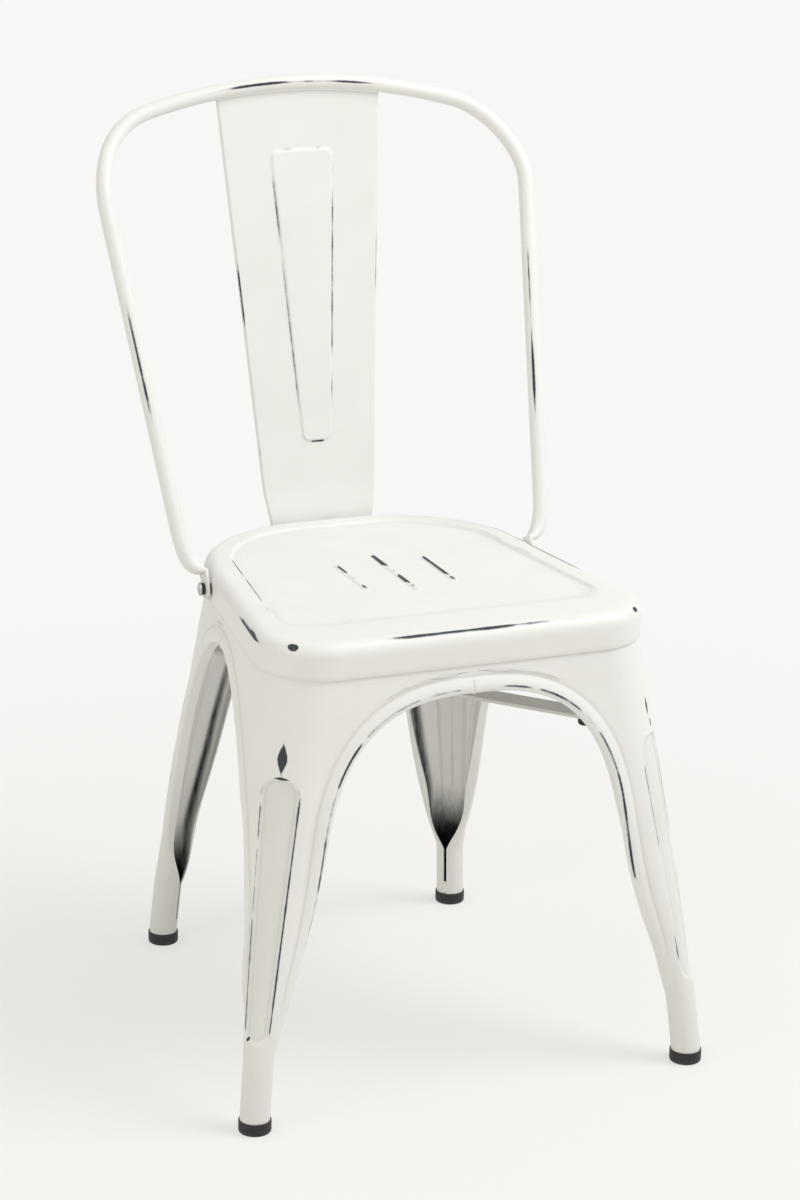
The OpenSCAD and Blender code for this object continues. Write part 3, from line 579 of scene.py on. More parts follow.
# %% One face of a leg
def face_grid(leg, side, rows, crest, away, apex):
    """Height, length from the bend's middle, and lift out of the sheet; and the bead's steps."""
    above = (np.arange(len(rows)) > apex)[:, None]
    w = open_part(rows)
    edge_s = np.minimum(bend_radius(leg, rows) * 0.8, channel_half(rows))
    steps = np.concatenate([np.full(len(SHEET_SHARES), BEAD_STEPS[0]), BEAD_STEPS])[None, :]
    g = np.concatenate([SHEET_SHARES, np.ones(len(BEAD_STEPS))])[None, :]
    drop = np.concatenate([np.zeros(len(SHEET_SHARES)), FLANGE_DROP])[None, :]
    s_crest = length_to(leg, crest[:, 1:], crest[:, :1], side)
    room = np.clip((s_crest - edge_s - 1.0) / 16.0, 0.15, 1.0)
    used = np.where(above, 0.0, np.where(steps > 0, steps * room, steps))
    at_x = crest[:, :1] + used * away[:, :1]
    at_z = crest[:, 1:] + used * away[:, 1:]
    s_end = length_to(leg, at_z, at_x, side)
    half_slit = np.where(rows < SLIT_BOTTOM - 0.5, 0.5, 1.6)
    even = np.arange(1, g.shape[1] + 1)[None, :] / g.shape[1]
    s = mix(mix(edge_s, np.pi * FOOT_R - half_slit, even), mix(edge_s, s_end, g), w)
    z = mix(rows, mix(rows, at_z, g), w)
    lift = np.where(above | (g < 1), 0.0, np.where(drop > 0, 0.0, bead_height(steps)) - drop) * w
    s = np.concatenate([edge_s * CHANNEL_SHARES[None, :], s], axis=1)
    z = np.concatenate([np.repeat(rows, len(CHANNEL_SHARES), axis=1), z], axis=1)
    lift = np.concatenate([np.zeros((len(rows), len(CHANNEL_SHARES))), lift], axis=1)
    return z, s, lift - CHANNEL_DEPTH * smooth(-channel_gap(z, s) / 3.2), steps


def half_leg(leg, side, wear, spots):
    """Outer skin of one face: its points, its rubbed numbers, and its painted shade and dust."""
    rows, crest, away, from_crown, apex = leg_frame(leg, side)
    z, s, lift, steps = face_grid(leg, side, rows, crest, away, apex)
    gap = channel_gap(z, s)
    off_crest = np.concatenate([np.full((1, len(CHANNEL_SHARES)), 40.0), np.abs(steps + 0.6)],
                               axis=1)
    rub = strokes(from_crown, wear["crest"]) - off_crest
    rub[apex + 1:] = WHOLE
    rub = np.maximum(rub, strokes(z, wear["channel"]) - np.abs(gap) * 0.9)
    for height, across, tall, wide in spots:
        out = np.abs((z - height) / tall) ** 1.2 + np.abs((s - side * across) / wide) ** 1.2
        rub = np.maximum(rub, 3.5 * (1 - out))
    # Painted shade as grey: along the channel's outline, inside the channel, and in the groove at
    # the bead's toe. Towards the floor the grey is part painted shade, part dust.
    outline, inside = smooth(1 - np.abs(gap + 3.4) / 2.5) * 0.5, smooth(-gap / 4) * 0.26
    low_down = smooth((200 - z) / 190) * 0.32
    toe = smooth(1 - np.abs(off_crest - 10.6) / 2.2) * 0.55 * open_part(rows)
    grime = np.maximum(np.maximum(outline, inside), np.maximum(low_down, toe))
    return on_leg(leg, z, s, side, lift), rub, grime


def leg_skin(leg, wear_side, wear_end, spots):
    """Both faces in one grid, from the side face round the bend to the end face."""
    side_face = half_leg(leg, -1, wear_side, spots)
    end_face = half_leg(leg, 1, wear_end, spots)
    return [np.concatenate([a[:, :0:-1], b], axis=1) for a, b in zip(side_face, end_face)]


# %% Closing a sheet, and the paint that the inside missed
def sheet_faces(rows, columns, present):
    """Quads for an outer and an inner skin, and for the rim between them."""
    total = rows * columns
    faces = []
    for j in range(rows - 1):
        for i in range(columns - 1):
            if not present(j, i):
                continue
            a, b = j * columns + i, j * columns + i + 1
            c, d = b + columns, a + columns
            faces += [(a, b, c, d), (total + d, total + c, total + b, total + a)]
            for near, p, q in ((present(j - 1, i), b, a), (present(j + 1, i), d, c),
                               (present(j, i - 1), a, d), (present(j, i + 1), c, b)):
                if not near:
                    faces.append((p, q, total + q, total + p))
    return faces


def drop_loose(piece):
    """Takes away the grid points that no face uses."""
    bm = bmesh.new()
    bm.from_mesh(piece.data)
    bmesh.ops.delete(bm, geom=[v for v in bm.verts if not v.link_faces], context="VERTS")
    bm.to_mesh(piece.data)
    bm.free()


def missed_inside(height):
    """Bare base coat inside a leg: solid low down, and in streaks up the sheet."""
    fold = np.linspace(-1, 1, height.shape[1])[None, :]
    streaks = 0.35 * smooth(1 - np.abs(fold + 0.5) / 0.1) + 0.25 * smooth(1 - np.abs(fold) / 0.1)
    broad = 0.95 * smooth(1 - np.abs(fold - 0.72) / 0.16)
    missed = np.maximum(1.1 * smooth((150 - height) / 90), streaks * smooth((370 - height) / 240))
    missed = np.maximum(missed, broad * smooth((400 - height) / 170))
    return missed * smooth((0.9 - np.abs(fold)) / 0.12)


# %% [markdown]
# Above the crown of its arches a leg goes on as a plain corner up inside the skirt of the
# seat, so the grid's outer columns end at the crown.

# %% Build one leg
def inner_skin(points, apex, trim):
    """The outer skin moved in by the sheet's thickness, square to the surface."""
    columns = points.shape[1]
    edge = np.zeros(columns, dtype=bool)
    edge[:trim] = edge[columns - trim:] = True
    up = np.gradient(points, axis=0)
    up[apex, edge] = points[apex, edge] - points[apex - 1, edge]
    normal = np.cross(up, np.gradient(points, axis=1))
    normal[apex:, :trim + 1, 1] = 0
    normal[apex:, columns - 1 - trim:, 0] = 0
    way = 1 if np.einsum("ijk,ijk->", normal, points - [60, 60, 0]) < 0 else -1
    return points + way * SHEET * normal / lengths(normal)


def make_leg(name, leg, side, front, *wear):
    points, rub, grime = leg_skin(leg, *wear)
    rows, columns = points.shape[:2]
    apex, trim = rows - 1 - len(LAST_ROWS), len(BEAD_STEPS) - 1

    def present(j, i):
        return (0 <= j < rows - 1 and 0 <= i < columns - 1
                and not (j >= apex and (i < trim or i >= columns - 1 - trim)))

    both = np.stack([points, inner_skin(points, apex, trim)])
    both[..., 0] *= side
    both[..., 1] *= -1 if front else 1
    marks = {"rub": np.stack([rub, np.full_like(rub, WHOLE)]), "grime": np.stack([grime] * 2),
             "missed": np.stack([np.zeros_like(rub), missed_inside(points[..., 2])])}
    piece = add_piece(name, to_frame(both), sheet_faces(rows, columns, present), marks)
    drop_loose(piece)
    return piece


# %% [markdown]
# A leg's wear: dashes along the crown of each arch and down both sides of the channel, and a
# long diamond where the sandpaper broke through at the bend above the channel. Dashes on the
# crown are measured down from the top of the arch, those on the channel up from the floor.
# A spot has its height, its place across the bend, its height either way and its width.

# %% Build the four legs
LEG_WEAR = {
    "leg_front_left": (
        dict(crest=random_strokes(11, 330, 0.3, 0.1),
             channel=[(88, 200, .4), (190, 262, .1), (258, 300, .35), (296, 316, .1)]),
        dict(crest=[(7, 50, .6), (46, 120, .5), (114, 172, .95), (164, 212, .5),
                    (203, 268, .9), (258, 330, .4)],
             channel=[(88, 130, .4), (112, 310, .6), (300, 318, .3)]),
        [(337, 0, 13, 5.0), (319.8, 1, 1.7, 7.5), (87.5, -8, 2.2, 1.8)]),
    "leg_front_right": (
        dict(crest=random_strokes(12, 330, 0.5, .3), channel=[(100, 190, .3), (215, 305, .3)]),
        dict(crest=[(22, 62, .8), (58, 118, .85), (112, 140, .3), (134, 200, .75),
                    (178, 298, 1.0)], channel=[(100, 135, .4), (210, 300, .2)]),
        [(345, 0, 9, 2.2), (329, -3, 6, 1.5)]),
    "leg_rear_left": (
        dict(crest=[(0, 12, .6), (60, 110, .1), (150, 190, .1), (230, 300, .4)],
             channel=random_strokes(21, 310)),
        dict(crest=random_strokes(13, 380), channel=random_strokes(14, 310)),
        [(338, 0, 13, 4.2)]),
    "leg_rear_right": (
        dict(crest=random_strokes(15, 380), channel=random_strokes(16, 310)),
        dict(crest=random_strokes(17, 380), channel=random_strokes(18, 310)),
        [(336, 1, 14, 4.6)]),
}
for name, wear in LEG_WEAR.items():
    front, right = "front" in name, "right" in name
    leg = make_leg(name + "_pressing", FRONT_LEG if front else REAR_LEG, 1 if right else -1,
                   front, *wear)
    hand_over(leg, PAINT, "worn_paint", name)


# %% [markdown]
# ## The seat pan
#
# The seat is one deep pressing: a floor, a raised border, a rolled rim and a skirt. Every
# level of it is the same outline set in by some amount, so it is made of rings. Ring after
# ring walks out of the recess, across the border, over the rim and down the skirt, and then
# back up inside.

# %% Outlines of the seat
def arc(c, r, start, end, n):
    a = np.linspace(start, end, n + 1)
    return np.stack([c[0] + r * np.cos(a), c[1] + r * np.sin(a)], axis=1)


def half_outline(cf, rf, cr, rr):
    front = np.stack([np.linspace(0, cf[0], 15)[:-1], np.full(14, cf[1] - rf)], axis=1)
    corner = arc(cf, rf, -math.pi / 2, SIDE_A, 26)
    back = arc(cr, rr, SIDE_A, math.pi / 2, 34)
    side = np.linspace(corner[-1], back[0], 26)[1:-1]
    flat = np.stack([np.linspace(cr[0], 0, 8)[1:], np.full(7, cr[1] + rr)], axis=1)
    return np.concatenate([front, corner, side, back, flat])


def ring(inset, recess=False, front_extra=0.0):
    """One level of the seat, set in from the skirt. The recess has its own front corners."""
    if recess:
        c = corner_f + (BORDER_FRONT - BORDER) * np.array([-math.tan(SIDE_A), 1])
        half = half_outline(c, FRONT_R - BORDER - inset, corner_r, REAR_R - BORDER - inset)
        fore = smooth((c[1] + 40 - half[:, 1]) / 70)
        half[:, 1] += front_extra * fore
    else:
        half = half_outline(corner_f, FRONT_R - inset, corner_r, REAR_R - inset)
    mirrored = half[-2:0:-1] * [-1, 1]
    return np.concatenate([half, mirrored])


print("points in a ring:", len(ring(0)))


# %% The seat's profile and its wear
def seat_rings():
    """(outline, height, kind, off) from the recess out and down. On the rim, off is the length
    up from its ridge, and on the skirt the length down from it. On the wall of the recess it is
    the length in from the top."""
    made = [(ring(RECESS_WALL + 8, True, 9.6), FLOOR_Z, "floor", 9.0)]
    for k in np.linspace(1, 0, 9):
        rise = smooth(1 - k)
        made.append((ring(RECESS_WALL * k + 0.8, True, 16 * (k - 0.4)), FLOOR_Z + RECESS * rise,
                     "recess", k * 5))
    made.append((ring(-1.0, True, -6.4), SEAT_H, "border", 8.0))
    made.append((ring(RIM_R + 1.5), SEAT_H, "border", 8.0))
    for a in np.radians([90, 82, 72, 62, 52, 42, 32, 22, 11, 0]):
        made.append((ring(RIM_R * (1 - math.cos(a))), SEAT_H - RIM_R * (1 - math.sin(a)),
                     "rim", RIM_R * (a - math.radians(50))))
    for z in np.linspace(SEAT_H - RIM_R - 5, SKIRT_Z, 4):
        made.append((ring(0.0), z, "skirt", SEAT_H - RIM_R - z + 11))
    return made


def seat_strokes(x, y, kind, off):
    """Rubbed patches of the seat: front rim, left and right rims, corners, recess edge."""
    rub = np.full(len(x), WHOLE)

    def add_line(where, at, marks, height, sharp=0.8):
        found = strokes(at, marks, 22) - abs(off - height) * sharp
        rub[:] = np.where(where, np.maximum(rub, found), rub)

    if kind in ("rim", "skirt"):
        add_line(y < -150, x, [(-88, 56, 1.3), (30, 90, .9), (76, 124, .35)], 2)
        add_line((x < -100) & (y < 100), -y, [(-60, 60, -.2), (56, 146, 1.2)], -6)
        add_line((x < -100) & (y < 100), -y, [(94, 138, .8)], -4)
        add_line(x > 90, -y, [(-120, -30, .6), (-52, 58, 1.3)], 5)
        add_line(y > 140, x, [(-120, -70, .4), (-20, 35, .5), (80, 118, .3)], 0)
        for cx, cy, level, size in ((-165, -170, -1.5, 5.2), (168, -169, -2, 4.2)):
            near = np.hypot(np.hypot(x - cx, y - cy), (off - level) * 1.3)
            rub = np.maximum(rub, size - near)
    if kind == "recess":
        add_line(x < -90, -y, [(-94, -16, .75), (-34, 62, .7), (50, 92, .3)], 0.6, 1.0)
        add_line(x > 90, -y, [(-118, -40, -.2), (-50, 10, .0)], 0.6, 1.0)
    return rub


# %% Build the seat pan
def under_rings():
    """(outline, height) of the underside, from the skirt's foot up and in to the recess."""
    inside_r = RIM_R - SHEET
    made = [(ring(SHEET), SKIRT_Z)]
    for a in np.radians([0, 15, 30, 45, 60, 75, 90]):
        made.append((ring(SHEET + inside_r * (1 - math.cos(a))),
                     SEAT_H - RIM_R + inside_r * math.sin(a)))
    for k in np.linspace(0, 1, 7):
        made.append((ring(RECESS_WALL * k + 1.2, True), SEAT_H - SHEET - RECESS * smooth(k)))
    return made


def ring_faces(count, n):
    """Quads between count rings of n points, and a fan to a middle point at each end."""
    faces = [(j * n + i, j * n + (i + 1) % n, (j + 1) * n + (i + 1) % n, (j + 1) * n + i)
             for j in range(count - 1) for i in range(n)]
    m = count * n
    faces += [(m, (i + 1) % n, i) for i in range(n)]
    faces += [(m + 1, m - n + i, m - n + (i + 1) % n) for i in range(n)]
    return faces


def make_seat():
    points, rub, grime = [], [], []
    for outline, z, kind, off in seat_rings():
        n = len(outline)
        points.append(np.column_stack([outline, np.full(n, z)]))
        rub.append(seat_strokes(outline[:, 0], outline[:, 1], kind, off))
        # Painted shade as grey on the recess's wall, along the skirt's lower edge, and over the
        # whole underside.
        recess_shade = 0.28 * math.exp(-(off - 4.4) ** 2)
        grime.append(np.full(n, recess_shade if kind == "recess" else 0.3 * (z < SKIRT_Z + 1)))
    for outline, z in under_rings():
        points.append(np.column_stack([outline, np.full(n, z)]))
        rub.append(np.full(n, WHOLE))
        grime.append(np.full(n, 0.2))
    middle = [[0.0, 0.0, FLOOR_Z], [0.0, 0.0, FLOOR_Z - SHEET]]
    marks = {"rub": np.append(np.concatenate(rub), [WHOLE, WHOLE]),
             "grime": np.append(np.concatenate(grime), [0, 0])}
    return add_piece("seat_pressing", to_frame(np.concatenate([*points, middle])),
                     ring_faces(len(points), n), marks)


seat = make_seat()
hand_over(seat, PAINT, "worn_paint", "seat_pan")


# %% [markdown]
# ## The three ribs
#
# Short ribs are pressed up in the middle of the seat to stiffen it. They repeat, so Geometry
# Nodes place them: a rib is a rounded bump on a grid, and one copy sits on each point of a
# small set of points that carry the rib's length. Their crowns are the most rubbed places
# of all. A rib's skirt dips just under the floor, so no gap shows round it.

# %% A rib as a bump on a grid, repeated by Geometry Nodes
def new_tree(name, *sizes):
    """An empty Geometry Nodes tree with a geometry input, named sizes and a material."""
    tree = bpy.data.node_groups.new(name, "GeometryNodeTree")
    tree.interface.new_socket("Geometry", in_out="INPUT", socket_type="NodeSocketGeometry")
    for label, kind in sizes:
        tree.interface.new_socket(label, in_out="INPUT", socket_type=kind)
    tree.interface.new_socket("Material", in_out="INPUT", socket_type="NodeSocketMaterial")
    tree.interface.new_socket("Geometry", in_out="OUTPUT", socket_type="NodeSocketGeometry")
    return tree, graph(tree)


def named(add, key, kind="FLOAT"):
    return add("GeometryNodeInputNamedAttribute", {"Name": key}, data_type=kind).outputs[0]


def finish_tree(add, geometry, given):
    """Every tree ends in the same two nodes, because the export drops instances."""
    real = add("GeometryNodeRealizeInstances", {0: geometry}).outputs[0]
    shown = add("GeometryNodeSetMaterial", {"Geometry": real, "Material": given["Material"]})
    add("NodeGroupOutput", {0: shown.outputs[0]})


def grown(name, points, tree, values, marks=None, edges=()):
    """Runs a tree on a set of points, and keeps the result as a plain mesh."""
    mesh = bpy.data.meshes.new(name + "_seed")
    mesh.from_pydata(np.asarray(points).tolist(), list(edges), [])
    for key, rows in (marks or {}).items():
        rows = np.asarray(rows, dtype=np.float32)
        kind = "FLOAT_VECTOR" if rows.ndim == 2 else "FLOAT"
        mark = mesh.attributes.new(key, kind, "POINT")
        mark.data.foreach_set("vector" if rows.ndim == 2 else "value", rows.ravel())
    seed = bpy.data.objects.new(name + "_seed", mesh)
    bpy.context.collection.objects.link(seed)
    nodes = seed.modifiers.new("grow", "NODES")
    nodes.node_group = tree
    for item in tree.interface.items_tree:
        if item.in_out == "INPUT" and item.name in values:
            nodes[item.identifier] = values[item.name]
    seen = seed.evaluated_get(bpy.context.evaluated_depsgraph_get())
    result = bpy.data.meshes.new_from_object(seen)
    bpy.data.objects.remove(seed)
    piece = bpy.data.objects.new(name, result)
    bpy.context.collection.objects.link(piece)
    result.name = name
    result.shade_smooth()
    result.set_sharp_from_angle(angle=math.radians(SHARP_DEG))
    result.calc_loop_triangles()
    print(f"{name}: {len(result.loop_triangles)} triangles, grown by {tree.name}")
    return piece


def rib_tree():
    tree, add = new_tree("pressed_ribs", ("Width", "NodeSocketFloat"),
                         ("Height", "NodeSocketFloat"))
    given = add("NodeGroupInput").outputs
    half_w = calc(add, given["Width"], 0.5, "MULTIPLY")
    long = named(add, "long")
    grid = add("GeometryNodeMeshGrid", {"Size X": given["Width"], "Size Y": 1.0,
                                        "Vertices X": 23, "Vertices Y": 161})
    copies = add("GeometryNodeInstanceOnPoints", {"Points": given["Geometry"],
                                                  "Instance": grid.outputs[0]})
    scale = add("ShaderNodeCombineXYZ", {0: 1.0, 1: long, 2: 1.0}).outputs[0]
    tree.links.new(scale, copies.inputs["Scale"])
    real = add("GeometryNodeRealizeInstances", {0: copies.outputs[0]}).outputs[0]
    place = add("GeometryNodeInputPosition").outputs[0]
    away = add("ShaderNodeVectorMath", {0: place, 1: named(add, "centre", "FLOAT_VECTOR")},
               operation="SUBTRACT").outputs[0]
    parts = add("ShaderNodeSeparateXYZ", {0: away}).outputs
    straight = calc(add, calc(add, long, 0.5, "MULTIPLY"), half_w, "SUBTRACT")
    past = calc(add, calc(add, parts[1], 0.0, "ABSOLUTE"), straight, "SUBTRACT")
    over = calc(add, past, 0.0, "MAXIMUM")
    across = calc(add, calc(add, parts[0], parts[0], "MULTIPLY"),
                  calc(add, over, over, "MULTIPLY"))
    share = calc(add, calc(add, across, 0.5, "POWER"), half_w, "DIVIDE")
    crown = calc(add, ramp(add, share, 0.25, 1.0, (1.0, 0.0)), given["Height"], "MULTIPLY")
    lift = add("ShaderNodeCombineXYZ", {2: calc(add, crown, 0.08 * MM, "SUBTRACT")}).outputs[0]
    moved = add("GeometryNodeSetPosition", {"Geometry": real, "Offset": lift}).outputs[0]
    outside = add("FunctionNodeCompare", {0: share, 1: 1.06}, operation="GREATER_THAN",
                  data_type="FLOAT").outputs[0]
    keep = add("GeometryNodeDeleteGeometry", {"Geometry": moved, "Selection": outside},
               domain="POINT").outputs[0]
    finish_tree(add, keep, given)
    return tree


ribs_at = np.array([[-RIB_PITCH, 0, FLOOR_Z], [0, 0, FLOOR_Z], [RIB_PITCH, 0, FLOOR_Z]])
seeds = to_frame(ribs_at)
ribs = grown("seat_ribs", seeds, rib_tree(),
             {"Width": (RIB_W + 1.0) * MM, "Height": RIB_H * MM, "Material": PAINT},
             {"long": np.array([84, 118, 84]) * MM, "centre": seeds})


# %% The ribs' wear
RIB_WEAR = (
    (-RIB_PITCH, [(39, 43, 1.5), (8, 37, 1.3), (-14, 12, .1), (-41, -26, 1.5)]),
    (0.0, [(20, 58, 2.4), (1, 6, .9), (-37, -8, 2.2), (-48, -40, 1.1)]),
    (RIB_PITCH, [(39, 43, 1.3), (-25, 38, 1.9), (-41, -27, 1.5)]),
)


def mark_ribs(piece):
    p = np.array([v.co for v in piece.data.vertices]) / MM
    y = p[:, 1] + MIDDLE
    rub = np.full(len(p), WHOLE)
    for x, marks in RIB_WEAR:
        near = np.abs(p[:, 0] - x)
        rub = np.maximum(rub, strokes(y, marks, 6) - near)
    store_marks(piece.data, rub=rub)
    print("rubbed rib points:", int((rub > 0).sum()))


mark_ribs(ribs)
hand_over(ribs, PAINT, "worn_paint")


# %% [markdown]
# ## The back hoop
#
# The hoop is one tube, bent in a plane that leans back, with its top rail bowed to fit a
# back. Its two ends are pressed flat and drilled. A tube that follows a path is a job for
# Geometry Nodes: the path's points carry the half sizes of the section and the two
# directions they are measured in, and a circle is swept along and then pushed out to them.
# Flattening an end is then only a matter of changing the sizes along the path.

# %% Path of the hoop
LEAN_R = math.radians(LEAN)
hoop_top_l = (BACK_H - TUBE_R - BOLT_Z) / math.cos(LEAN_R)
corner_x = HOOP_HIGH_W / 2 - HOOP_CORNER_R
corner_l = hoop_top_l - HOOP_TOP_R + math.sqrt((HOOP_TOP_R - HOOP_CORNER_R) ** 2 - corner_x ** 2)
side_low = np.array([HOOP_LOW_W / 2, HOOP_LOW_L])
to_corner = np.array([corner_x, corner_l]) - side_low
hoop_side_a = math.atan2(to_corner[1], to_corner[0]) - math.acos(
    -HOOP_CORNER_R / np.linalg.norm(to_corner))
hoop_top_a = math.atan2(corner_l - (hoop_top_l - HOOP_TOP_R), corner_x)
bolt_x = corner_f[0] + (FRONT_R - (BOLT_Y - corner_f[1]) * math.sin(SIDE_A)) / math.cos(SIDE_A)
foot_x = bolt_x + SPACER + TAB_T / 2


def hoop_half():
    """The right half, from the round end of the tab to the middle of the top rail."""
    tab = np.stack([np.full(12, foot_x), np.linspace(0.1 - TAB_R, TAB_LEN, 13)[:-1]], axis=1)
    aim = side_low - (HOOP_LOW_L - HOOP_BEND_L) * np.array(
        [-math.sin(hoop_side_a), math.cos(hoop_side_a)])
    t = np.linspace(0, 1, 15)[:-1, None]
    bend = (1 - t) ** 2 * [foot_x, TAB_LEN] + 2 * t * (1 - t) * aim + t ** 2 * side_low
    corner = arc((corner_x, corner_l), HOOP_CORNER_R, hoop_side_a, hoop_top_a, 26)
    side = np.linspace(side_low, corner[0], 30)[:-1]
    top = arc((0, hoop_top_l - HOOP_TOP_R), HOOP_TOP_R, hoop_top_a, math.pi / 2, 20)[1:]
    return np.concatenate([tab, bend, side, corner, top])


def place_hoop(p):
    """From flat (x, length up the lean) to the leaning plane, with the top rail bowed back."""
    bow = np.where(p[:, 1] < corner_l, 0, BOW * np.maximum(
        0, 1 - (np.abs(p[:, 0]) / (HOOP_HIGH_W / 2)) ** 12))
    return np.stack([p[:, 0], BOLT_Y + p[:, 1] * math.sin(LEAN_R) + bow,
                     BOLT_Z + p[:, 1] * math.cos(LEAN_R)], axis=1)


half = hoop_half()
flat = np.concatenate([half, half[-2::-1] * [-1, 1]])
path = place_hoop(flat)
tangent = np.gradient(path, axis=0)
tangent /= lengths(tangent)
out = np.cross(tangent, [0, math.cos(LEAN_R), -math.sin(LEAN_R)])
out /= lengths(out)
fore = np.cross(out, tangent)
run_l = np.concatenate([[0], np.cumsum(np.linalg.norm(np.diff(path, axis=0), axis=1))])
from_end = np.minimum(run_l, run_l[-1] - run_l)
print("hoop tube length:", round(run_l[-1]), "mm")


# %% Sweep the tube with Geometry Nodes
def tube_tree():
    tree, add = new_tree("swept_tube", ("Facets", "NodeSocketInt"))
    given = add("NodeGroupInput").outputs
    rail = add("GeometryNodeMeshToCurve", {0: given["Geometry"]}).outputs[0]
    circle = add("GeometryNodeCurvePrimitiveCircle", {"Resolution": given["Facets"],
                                                      "Radius": 0.001}).outputs[0]
    index = add("GeometryNodeInputIndex").outputs[0]
    turn = calc(add, calc(add, index, given["Facets"], "DIVIDE"), 2 * math.pi, "MULTIPLY")
    marked = add("GeometryNodeStoreNamedAttribute",
                 {"Geometry": circle, "Name": "turn", "Value": turn},
                 data_type="FLOAT", domain="POINT").outputs[0]
    swept = add("GeometryNodeCurveToMesh", {"Curve": rail, "Profile Curve": marked,
                                            "Fill Caps": True}).outputs[0]

    def reach(wave, size, way):
        """The section's size one way: a wave squared off by `square`, along its direction."""
        value = calc(add, named(add, "turn"), 0.0, wave)
        bare = calc(add, calc(add, value, 0.0, "ABSOLUTE"), named(add, "square"), "POWER")
        squared = calc(add, bare, calc(add, value, 0.0, "SIGN"), "MULTIPLY")
        far = calc(add, squared, named(add, size), "MULTIPLY")
        return add("ShaderNodeVectorMath", {0: named(add, way, "FLOAT_VECTOR"), 3: far},
                   operation="SCALE").outputs[0]

    both = add("ShaderNodeVectorMath", {0: reach("COSINE", "thick", "out"),
                                        1: reach("SINE", "wide", "fore")}).outputs[0]
    goal = add("ShaderNodeVectorMath", {0: named(add, "centre", "FLOAT_VECTOR"),
                                        1: both}).outputs[0]
    shaped = add("GeometryNodeSetPosition", {"Geometry": swept, "Position": goal}).outputs[0]
    finish_tree(add, shaped, given)
    return tree


flatten = 1 - smooth((from_end - 20) / 24)
round_end = np.sqrt(np.maximum(0.0001, 1 - clamp01(1 - from_end / TAB_R) ** 2))
tube_size = TUBE_R - 0.07
seeds = to_frame(path)
hoop = grown("back_hoop_tube", seeds, tube_tree(), {"Facets": 32, "Material": PAINT}, {
    "centre": seeds, "out": out, "fore": fore, "length_at": run_l,
    "thick": mix(tube_size, TAB_T / 2, flatten) * MM,
    "wide": mix(tube_size, TAB_R, flatten) * np.where(flatten > 0.5, round_end, 1) * MM,
    "square": mix(1.0, 0.45, flatten)}, [(i, i + 1) for i in range(len(path) - 1)])


# %% [markdown]
# Whoever sanded the hoop stood in front of it, so its rubbed lines run along the side that
# faces the front and a little to the left. A few more face the rear and the right.

# %% The hoop's wear
def hoop_lines(middle, end):
    """(the way the line faces, turn from there, strokes measured from the tube's right end)"""
    front, rear, right = (-0.45, -0.85, 0.2), (0.3, 0.9, 0.3), (0.9, 0.2, 0.35)
    return [
        (front, 0.0, [(middle - 92, middle - 14, 1.2), (middle - 34, middle + 20, .5),
                      (middle - 10, middle + 96, 1.4)]),
        (front, 0.0, [(end - 318, end - 225, .7), (end - 300, end - 160, 1.1)]),
        (front, 0.1, [(140, 250, 1.35), (225, 345, .5)]),
        (rear, 0.0, [(150, 250, .8), (middle - 60, middle + 70, .9), (end - 290, end - 190, .7)]),
        (right, 0.0, [(60, 110, .2), (middle - 230, middle - 160, .6)]),
    ]


def mark_hoop(piece):
    mesh = piece.data
    read = {}
    for key in ("turn", "length_at"):
        read[key] = np.empty(len(mesh.vertices))
        mesh.attributes[key].data.foreach_get("value", read[key])
    turn, at = read["turn"], read["length_at"]
    end = run_l[-1]
    rub = np.full(len(turn), WHOLE)
    for way, shift, marks in hoop_lines(end / 2, end):
        faces = np.unwrap(np.arctan2(fore @ np.array(way), out @ np.array(way)))
        aim = np.interp(at, run_l, faces) + shift
        off = np.abs((turn - aim + np.pi) % (2 * np.pi) - np.pi) * TUBE_R
        rub = np.maximum(rub, strokes(at, marks, 45) - off)
    # Painted shade as grey near the flat ends, where the tube meets the seat.
    store_marks(mesh, rub=rub, grime=0.3 * smooth(1 - np.minimum(at, end - at) / 30))
    print("hoop: rubbed points", int((rub > 0).sum()))


mark_hoop(hoop)
hand_over(hoop, PAINT, "worn_paint", "back_hoop")


# %% [markdown]
# ## The splat
#
# The splat is a tapering sheet with rolled side edges. Its foot is folded down behind the
# seat and bolted there, and a long tapering panel is pressed into its face. It is made as a
# grid too: rows up the sheet, columns across it, closest together at the panel's outline and
# at the rolled edges.

# %% The rule of the splat
FOOT_BACK = SEAT_D / 2 + SEAM
BEND = np.array([FOOT_BACK + 8, SEAT_H + 28.0])
FOOT_LOW, FOOT_HIGH, FOOT_LEN, FOOT_TAPER = SEAT_H - RIM_R - 13, SEAT_H + 1.0, 54.0, 62.0
TOP_W, LOW_W, HEM_IN = 168.0, 117.0, 2.2
PANEL_H, PANEL_TOP, PANEL_LOW, PANEL_GAP, PANEL_R, STEP = 286.0, 66.0, 31.0, 45.0, 8.0, 1.6
PANEL_END = PANEL_GAP + PANEL_H


def splat_top(x):
    """The sheet's upper edge, which meets the hoop's top rail square on."""
    drop = HOOP_TOP_R - np.sqrt(HOOP_TOP_R ** 2 - x * x)
    h = place_hoop(np.stack([x, hoop_top_l - drop], axis=1))
    lean = np.stack([np.zeros_like(x), h[:, 1] - BEND[0], h[:, 2] - BEND[1]], axis=1)
    return np.stack([x, h[:, 1], h[:, 2]], axis=1) - (TUBE_R + SEAM) * lean / lengths(lean)


splat_len = float(np.linalg.norm(splat_top(np.zeros(1))[0] - [0, *BEND]))
print("splat above its bend:", round(splat_len, 1), "mm")


